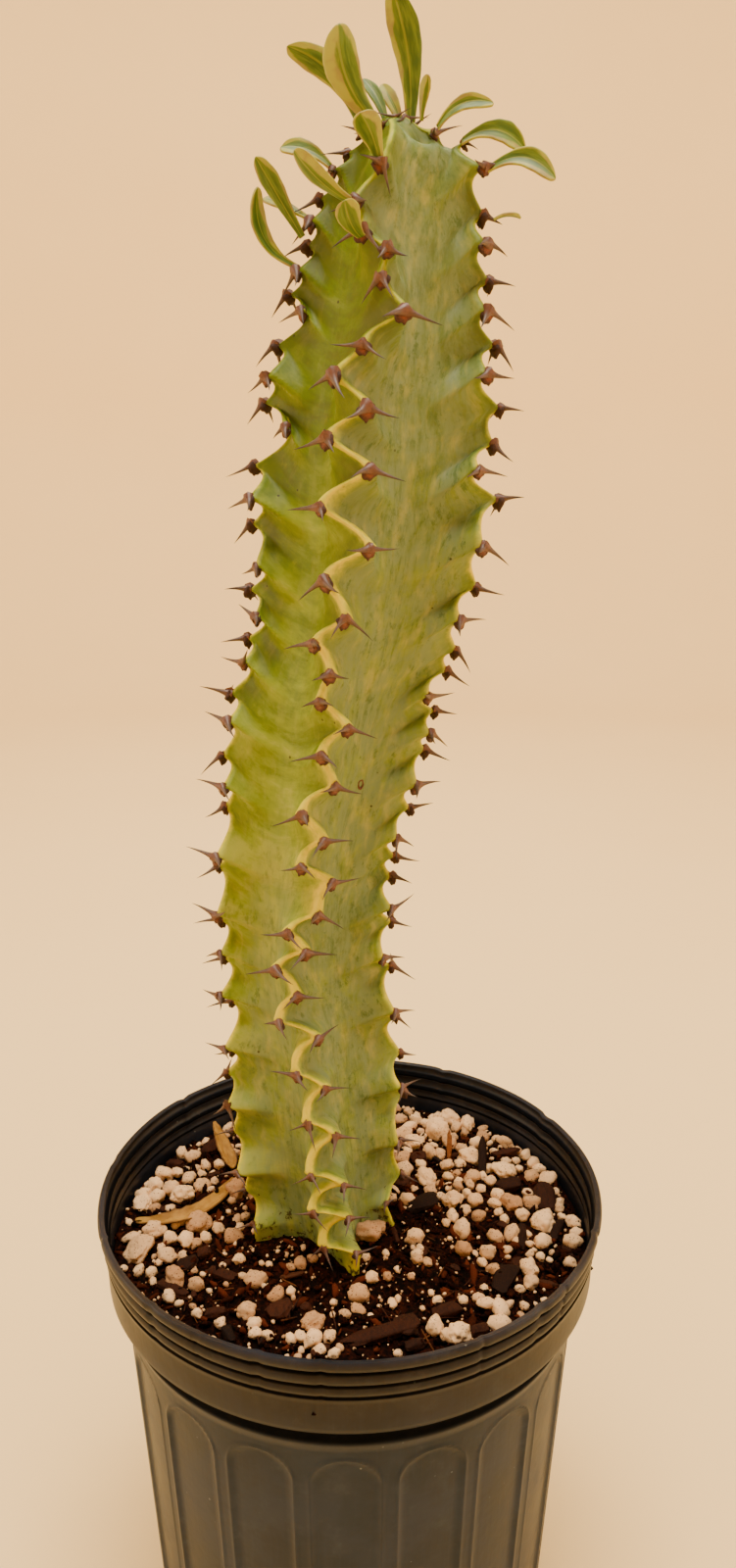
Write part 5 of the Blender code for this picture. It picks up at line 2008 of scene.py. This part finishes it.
    # Ends of the larger bark pieces in the photograph's crops, their width there, rise and tone
    CHIPS = (
        (60, 1080, 0.2041, (
            (735, 440, 812, 440, 120, 1.5, 0.5), (545, 522, 618, 535, 40, 0.5, 0.55),
            (600, 1035, 690, 1015, 70, 0.5, 0.2), (760, 1060, 880, 1105, 50, 0.5, 0.45),
            (1050, 1270, 1160, 1240, 90, 1.5, 0.62), (500, 1120, 640, 1190, 48, 0.5, 0.4),
            (700, 985, 760, 960, 50, 1.0, 0.5), (760, 1275, 830, 1270, 40, 0.5, 0.4),
            (1210, 1255, 1260, 1245, 40, 0.5, 0.6),
        )),
        (400, 1040, 0.2295, (
            (675, 850, 680, 735, 105, 2.5, 0.32), (470, 745, 570, 730, 62, 1.5, 0.25),
            (400, 690, 404, 535, 40, 6.0, 0.12), (252, 625, 256, 505, 22, 7.0, 0.95),
            (85, 622, 150, 612, 52, 1.0, 0.62), (450, 605, 560, 585, 30, 2.0, 0.6),
            (575, 1010, 580, 920, 46, 1.0, 0.2), (470, 1210, 530, 1100, 92, 1.0, 0.12),
            (80, 830, 200, 800, 80, 1.0, 0.08), (5, 720, 75, 735, 52, 0.5, 0.6),
            (10, 1370, 115, 1350, 92, 0.5, 0.3), (350, 1390, 425, 1375, 44, 0.5, 0.4),
            (715, 980, 745, 900, 44, 0.5, 0.15),
        )),
        (200, 1220, 0.2424, (
            (640, 620, 930, 540, 60, 1.2, 0.36), (880, 640, 960, 620, 40, 0.5, 0.25),
            (1000, 500, 1110, 470, 50, 0.5, 0.35), (40, 500, 110, 490, 40, 0.5, 0.45),
        )),
    )

    def height_at(self, x: float, y: float) -> float:
        """Height of the mix's surface at a place: level round the stem, lower at the wall, and lumpy."""
        out = math.hypot(x, y)
        lump = noise.noise(Vector((x, y, 5.0)) / self.grain)
        calm = min(1.0, max(0.0, (self.SIDE[0][0] - out) / self.calm_edge))
        return between(self.TOP + self.SIDE[:1], out) + self.roughness * lump * calm

    def build(self) -> None:
        """Makes and dresses the bed and all that lies on it."""
        self.build_bed()
        chance = random.Random(12)
        taken: list[tuple[float, float, float]] = []
        bark = self.bark_copies(chance, taken)
        perlite = self.perlite_copies(chance, taken)
        pieces = (
            ("bark_pieces", bark, Bark().material(), 45.0),
            ("perlite_grains", perlite, Perlite().material(), None),
            ("peat_crumbs", self.crumb_copies(chance), PottingMix().material("peat_crumb", True), None),
            ("peat_fibres", self.fibre_copies(chance), bpy.data.materials["bark"], None),
        )
        for name, copies, finish, angle in pieces:
            piece = strewn(name, copies)
            smooth(piece, angle)
            settle(piece, "soil", finish)

    def build_bed(self) -> None:
        """Makes the bed of mix, crumbly on top and closed down to the pot's base."""
        turns = np.linspace(0.0, 2 * math.pi, 289)
        rows = []
        for radius in np.linspace(0.0, self.SIDE[0][0], 92):
            ring = np.stack([radius * np.cos(turns), radius * np.sin(turns), np.zeros(len(turns))], axis=1)
            ring[:, 2] = [self.height_at(x, y) for x, y, _ in ring]
            rows.append(ring)
        top = np.array(rows)
        flat = top.reshape(-1, 3)
        calm = np.clip((self.SIDE[0][0] - np.hypot(flat[:, 0], flat[:, 1])) / 3.0, 0.0, 1.0)
        small = sum(height * lumps(flat, size, seed) for size, seed, height in self.LUMPS)
        flat[:, 2] += calm * (small - 0.5)
        sides = [
            np.stack([radius * np.cos(turns), radius * np.sin(turns), np.full(len(turns), height)], axis=1)
            for radius, height in (*self.SIDE, (0.0, self.SIDE[-1][1]))
        ]
        bed = grid_piece("potting_mix_bed", np.concatenate([top, np.array(sides[1:])]))
        smooth(bed)
        settle(bed, "soil", PottingMix().material(), "soil")

    def in_stem(self, x: float, y: float, room: float = 0.0) -> bool:
        """Tells whether a place on the mix lies in the stem's foot.

        Args:
            x: its distance to the right.
            y: its distance to the back.
            room: how near to the foot counts as well.

        Returns:
            True in the foot or within that room of it.
        """
        middle = self.stem.middle(self.foot_height)
        away = Vector((x - middle.x, y - middle.y, 0.0))
        for rib in Rib:
            outward, sideways = self.stem.directions(rib, self.foot_height)
            out, side = away.dot(outward), abs(away.dot(sideways))
            if 0 <= out < 26.5 + room and side < 8.9 - 0.42 * (out - 8.9) + room and side <= out + room:
                return True
        return False

    def on_mix(self, crop: Row, x: float, y: float, lift: float) -> tuple[Vector, float]:
        """Finds the point on the mix that is seen at a place in one of the photograph's crops.

        Args:
            crop: the crop's left edge, top edge and scale.
            x: pixels from the crop's left edge.
            y: pixels from its top edge.
            lift: how far the point lies above the mix.

        Returns:
            The point, and how many millimetres one pixel of the photograph covers there.
        """
        left, top, scale = crop
        height = 149.0
        for _ in range(4):
            point, pixel = self.eye.seen_at(left + x * scale, top + y * scale, height)
            height = self.height_at(point.x, point.y) + lift
        return point, pixel

    @staticmethod
    def strew(chance: random.Random, reach: float) -> tuple[float, float]:
        """Draws a place within a reach of the pot's axis."""
        turn, out = chance.uniform(0.0, 2 * math.pi), reach * math.sqrt(chance.random())
        return out * math.cos(turn), out * math.sin(turn)

    @staticmethod
    def grain_templates(count: int, fineness: int, seed: float, rough: float) -> list[Template]:
        """Several lumpy grains about 1 in radius.

        Args:
            count: how many to make.
            fineness: how often their triangles are divided.
            seed: shifts their lumps.
            rough: height of their lumps.

        Returns:
            The grains.
        """
        made = []
        for number in range(count):
            shape = ball(fineness)
            points = points_of(shape) * MM
            big = lumps(points, 0.85, seed + number)[:, None]
            small = lumps(points, 0.4, seed + number + 50)[:, None]
            fine = lumps(points, 0.2, seed + number + 90)[:, None]
            points = points * (1 + rough * (big + 0.6 * small + 0.3 * fine)) * np.array((1.08, 0.88, 0.86))
            lay_points(shape, points / MM)
            made.append(Template.of(shape))
        return made

    @staticmethod
    def pose(place: Vector, sizes: Row, chance: random.Random, wild: float = math.pi) -> Matrix:
        """Draws a copy's turn.

        Args:
            place: where it lies.
            sizes: its size along its own three axes.
            chance: the draw.
            wild: how far it may lean, as an angle in radians.

        Returns:
            The copy's matrix.
        """
        turn = Matrix.Rotation(chance.uniform(0.0, 2 * math.pi), 4, "Z")
        lean = Matrix.Rotation(chance.uniform(-wild, wild), 4, "X")
        lean = lean @ Matrix.Rotation(chance.uniform(-wild, wild), 4, "Y")
        return Matrix.Translation(place) @ turn @ lean @ Matrix.Diagonal((*sizes, 1.0))

    def perlite_copies(self, chance: random.Random, taken: list[tuple[float, float, float]]) -> list[Copy]:
        """All perlite: the grains that the photograph shows, others behind the stem, and small ones between.

        Args:
            chance: the draw.
            taken: x, y and radius of what lies on the mix, to which the grains are added.

        Returns:
            The copies.
        """
        coarse = self.grain_templates(7, 4, 1.0, 0.3)
        middling = self.grain_templates(7, 3, 20.0, 0.3)
        fine = self.grain_templates(4, 2, 40.0, 0.3)
        copies = []

        def add(point: Vector, size: float, tone: float, tall: float = 1.0) -> None:
            """Adds one grain, kept inside the pot's wall.

            Args:
                point: its place.
                size: its radius.
                tone: how stained it is, from 0 to 1.
                tall: its height over its width.
            """
            out = math.hypot(point.x, point.y)
            most = self.inner_radius - size
            if out > most:
                point = Vector((point.x * most / out, point.y * most / out, point.z))
            shapes = coarse if size > 3.5 else middling if size > 1.4 else fine
            sizes = (size, size * chance.uniform(0.85, 1.05), size * tall * chance.uniform(0.9, 1.0))
            copies.append(Copy(chance.choice(shapes), self.pose(point, sizes, chance, 0.5), tone))
            taken.append((point.x, point.y, size))

        for *crop, grains in self.GRAINS:
            for x, y, width, *more in grains:
                tone = more[0] if more else chance.uniform(0.0, 0.45)
                tall = more[1] if len(more) > 1 else 1.0
                _, pixel = self.on_mix(crop, x, y, 0.0)
                size = 0.5 * width * crop[2] * pixel
                point, _ = self.on_mix(crop, x, y, 0.42 * size)
                add(point, size, tone, min(1.15, tall))
        for least, most, wanted, low, high in self.OTHER_GRAINS:
            made = tries = 0
            while made < wanted and tries < 40 * wanted:
                tries += 1
                x, y = self.strew(chance, self.SPECK_REACH)
                size = low + (high - low) * chance.random() ** 1.5
                crowd = noise.noise(Vector((x, y, 31.0)) / 16.0) > chance.uniform(-0.5, 0.25)
                left, front, wide, deep = self.BARE_PATCH
                bare = high <= 2.0 and math.hypot((x - left) / wide, (y - front) / deep) <= 1.0
                if not crowd or bare and chance.random() >= 0.2 or not least < y < most:
                    continue
                if self.in_stem(x, y, size) or self.under_dry_leaf(x, y, size):
                    continue
                if any(math.hypot(x - a, y - b) < 0.86 * (size + room) for a, b, room in taken):
                    continue
                add(Vector((x, y, self.height_at(x, y) + 0.4 * size)), size, chance.uniform(0.0, 0.8))
                made += 1
        for _ in range(self.SPECKS):
            x, y = self.strew(chance, self.SPECK_REACH)
            left, front, reach = self.SPECKLED_PATCH
            near = math.exp(-(math.hypot(x - left, y - front) / reach) ** 2)
            if chance.random() > 0.25 + 0.75 * near or self.in_stem(x, y, 0.5):
                continue
            size = 0.2 + 0.42 * chance.random() ** 2
            sizes = (size, size, size * 0.9)
            spot = Vector((x, y, self.height_at(x, y) + chance.uniform(0.1, 0.5)))
            shape = chance.choice(self.specks)
            copies.append(Copy(shape, self.pose(spot, sizes, chance), chance.uniform(0.1, 1.0)))
        return copies

    @cached_property
    def specks(self) -> list[Template]:
        """A few of the smallest lumps, made once."""
        return self.grain_templates(4, 1, 60.0, 0.4)

    @staticmethod
    def under_dry_leaf(x: float, y: float, room: float) -> bool:
        """Tells whether a grain would reach up through a dry leaf.

        Args:
            x: the grain's distance to the right.
            y: its distance to the back.
            room: its radius.

        Returns:
            True under a dry leaf.
        """
        for route, width, _ in DryLeaves.LEAVES.values():
            for start, end in zip(route[:-1], route[1:]):
                first, last, place = Vector(start[:2]), Vector(end[:2]), Vector((x, y))
                share = (place - first).dot(last - first) / (last - first).length_squared
                nearest = first + (last - first) * min(1.0, max(0.0, share))
                if (place - nearest).length < 0.7 * room + width / 2:
                    return True
        return False

    @staticmethod
    def chip_template(seed: float) -> Template:
        """A chip 1 long, 1 wide and 1 thick, with broken edges.

        Args:
            seed: shifts its lumps.

        Returns:
            The chip.
        """
        deselect()
        bpy.ops.mesh.primitive_cube_add(size=1.0)
        shape = bpy.context.active_object
        edit_all(shape)
        bpy.ops.mesh.subdivide(number_cuts=3)
        bpy.ops.object.mode_set(mode="OBJECT")
        points = points_of(shape) * MM
        length = np.linalg.norm(points * np.array((1.0, 1.0, 0.4)), axis=1, keepdims=True)
        rounded = points / np.maximum(1e-6, length) * 0.56
        points = points * 0.45 + rounded * 0.55
        for axis in range(3):
            shift = seed + 9 * axis
            points[:, axis] += 0.2 * lumps(points, 0.6, shift) + 0.1 * lumps(points, 0.25, shift)
        lay_points(shape, points / MM)
        return Template.of(shape)

    def bark_copies(self, chance: random.Random, taken: list[tuple[float, float, float]]) -> list[Copy]:
        """All bark: the pieces that the photograph shows and smaller ones all over.

        Args:
            chance: the draw.
            taken: x, y and radius of what lies on the mix, to which the larger pieces are added.

        Returns:
            The copies.
        """
        chips = [self.chip_template(float(seed)) for seed in range(6)]
        copies = []
        for *crop, pieces in self.CHIPS:
            for x1, y1, x2, y2, width, rise, tone in pieces:
                start, pixel = self.on_mix(crop, x1, y1, 0.6)
                end, _ = self.on_mix(crop, x2, y2, 0.6 + rise)
                along = end - start
                span = width * crop[2] * pixel * (0.85 if abs(x2 - x1) < abs(y2 - y1) else 1.1)
                flat = Vector((-along.y, along.x, 0.0)).normalized()
                matrix = fitted((along, flat * span, along.normalized().cross(flat) * 2.0), (start + end) / 2)
                copies.append(Copy(chance.choice(chips), matrix, tone))
                taken.append(((start.x + end.x) / 2, (start.y + end.y) / 2, span * 0.5))
        for _ in range(self.SMALL_CHIPS):
            x, y = self.strew(chance, self.CHIP_REACH)
            if self.in_stem(x, y, 4.0) or self.under_dry_leaf(x, y, 3.0):
                continue
            sizes = (chance.uniform(2.4, 7.0), chance.uniform(1.2, 3.0), chance.uniform(0.6, 1.5))
            place = Vector((x, y, self.height_at(x, y) + chance.uniform(0.1, 0.8)))
            shape = chance.choice(chips)
            copies.append(Copy(shape, self.pose(place, sizes, chance, 0.35), chance.uniform(0.0, 0.7)))
        return copies

    def crumb_copies(self, chance: random.Random) -> list[Copy]:
        """Crumbs of peat all over the bed.

        Args:
            chance: the draw.

        Returns:
            The copies.
        """
        fine, coarse = self.specks, self.grain_templates(4, 2, 80.0, 0.5)
        copies = []
        while len(copies) < self.CRUMBS:
            x, y = self.strew(chance, self.CRUMB_REACH)
            if self.in_stem(x, y, 0.2):
                continue
            size = 0.4 + 1.5 * chance.random() ** 2.6
            sizes = (size * chance.uniform(1.0, 2.2), size * chance.uniform(0.6, 1.0), size * 0.6)
            place = Vector((x, y, self.height_at(x, y) + chance.uniform(-0.2, 0.35)))
            shape = chance.choice(coarse if size > 1.0 else fine)
            copies.append(Copy(shape, self.pose(place, sizes, chance), chance.random()))
        return copies

    def fibre_copies(self, chance: random.Random) -> list[Copy]:
        """Thin strands of peat and wood that lie on the bed.

        Args:
            chance: the draw.

        Returns:
            The copies.
        """
        deselect()
        bpy.ops.mesh.primitive_cylinder_add(vertices=5, radius=1.0, depth=1.0)
        shape = bpy.context.active_object
        edit_all(shape)
        bpy.ops.transform.rotate(value=math.pi / 2, orient_axis="Y", center_override=(0.0, 0.0, 0.0))
        bpy.ops.object.mode_set(mode="OBJECT")
        strand = Template.of(shape)
        copies = []
        while len(copies) < self.FIBRES:
            x, y = self.strew(chance, self.FIBRE_REACH)
            if self.in_stem(x, y, 3.0):
                continue
            thin = chance.uniform(0.12, 0.28)
            sizes = (chance.uniform(2.5, 8.0), thin, thin)
            place = Vector((x, y, self.height_at(x, y) + chance.uniform(0.3, 1.2)))
            copies.append(Copy(strand, self.pose(place, sizes, chance, 0.3), chance.uniform(0.2, 0.9)))
        return copies


@dataclass
class DryLeaves:
    """The two dead leaves that lie on the mix.

    Attributes:
        soil: the mix that they lie on.
        thickness: the thickness of a leaf.
        curl: how far a leaf's margins stand up, as a share of half its width.
    """

    soil: Soil
    thickness: float = 0.65
    curl: float = 0.5

    # The points of each leaf's midrib, as x, y and height above the mix, its width and its piece's name
    LEAVES = {
        "dry_leaf_long": (
            ((-73.0, 3.0, 0.9), (-63.0, -1.0, 2.4), (-53.5, 0.5, 2.8), (-45.5, 10.0, 1.8), (-41.0, 24.0, 0.9)),
            7.0, "fallen_leaf_long",
        ),
        "dry_leaf_curled": (
            ((-42.0, 30.0, 0.9), (-43.5, 34.5, 1.4), (-47.0, 40.0, 5.5), (-50.0, 44.5, 12.0)),
            5.6, "fallen_leaf_curled",
        ),
    }

    def build(self) -> None:
        """Makes and dresses both leaves."""
        finish = DrySkin().material()
        for node, (route, width, name) in self.LEAVES.items():
            settle(self.blade(node, route, width, name), "dry_leaf", finish, node)

    def blade(self, node: str, route: Table, width: float, name: str) -> Piece:
        """Models one dry leaf along its midrib.

        Args:
            node: the CAD node that it stands for.
            route: the points of its midrib.
            width: its greatest width.
            name: the piece's name.

        Returns:
            The finished leaf.
        """
        stations, strips = 44, 9
        spots = tuple((index / (len(route) - 1), *point) for index, point in enumerate(route))
        middles = []
        for share in np.linspace(0.0, 1.0, stations):
            x, y, lift = (between(spots, share, column) for column in (1, 2, 3))
            middles.append(Vector((x, y, self.soil.height_at(x, y) + lift)))
        rows, across, sheet, run = [], [], [], 0.0
        for station, middle in enumerate(middles):
            along = middles[min(station + 1, stations - 1)] - middles[max(station - 1, 0)]
            side = along.cross(UP).normalized()
            up = side.cross(along).normalized()
            share = station / (stations - 1)
            half = width / 2 * math.sin(math.pi * (0.07 + 0.88 * share)) ** 0.8
            run += along.length / 2
            row = []
            for place in np.linspace(-1.0, 1.0, strips):
                edge = abs(place)
                torn = 1.0 + 0.07 * noise.noise(Vector((station * 0.5, place * 2, width))) * edge
                wave = noise.noise(Vector((station * 0.35, place * 2, 3.0)))
                lift = half * self.curl * edge**1.6 + 0.12 * wave * width * edge
                row.append(middle + side * half * place * torn + up * lift)
                across.append(place)
                sheet.append((half * place * MM, run * MM, width))
            rows.append(row)
        piece = grid_piece(name, np.array(rows), {"across": np.array(across), "sheet": np.array(sheet)})
        thicken(piece, self.thickness)
        Leaves.fit(piece, node)
        smooth(piece)
        return piece


# All of it


def main() -> None:
    """Builds the plant, its pot, the floor, the light and the camera."""
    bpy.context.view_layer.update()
    eye = Eye()
    eye.build()
    Studio().build()
    Pot().build()
    stem = Stem()
    stem.build()
    soil = Soil(eye, stem)
    soil.build()
    Leaves(stem).build()
    DryLeaves(soil).build()


if __name__ == "__main__":
    main()
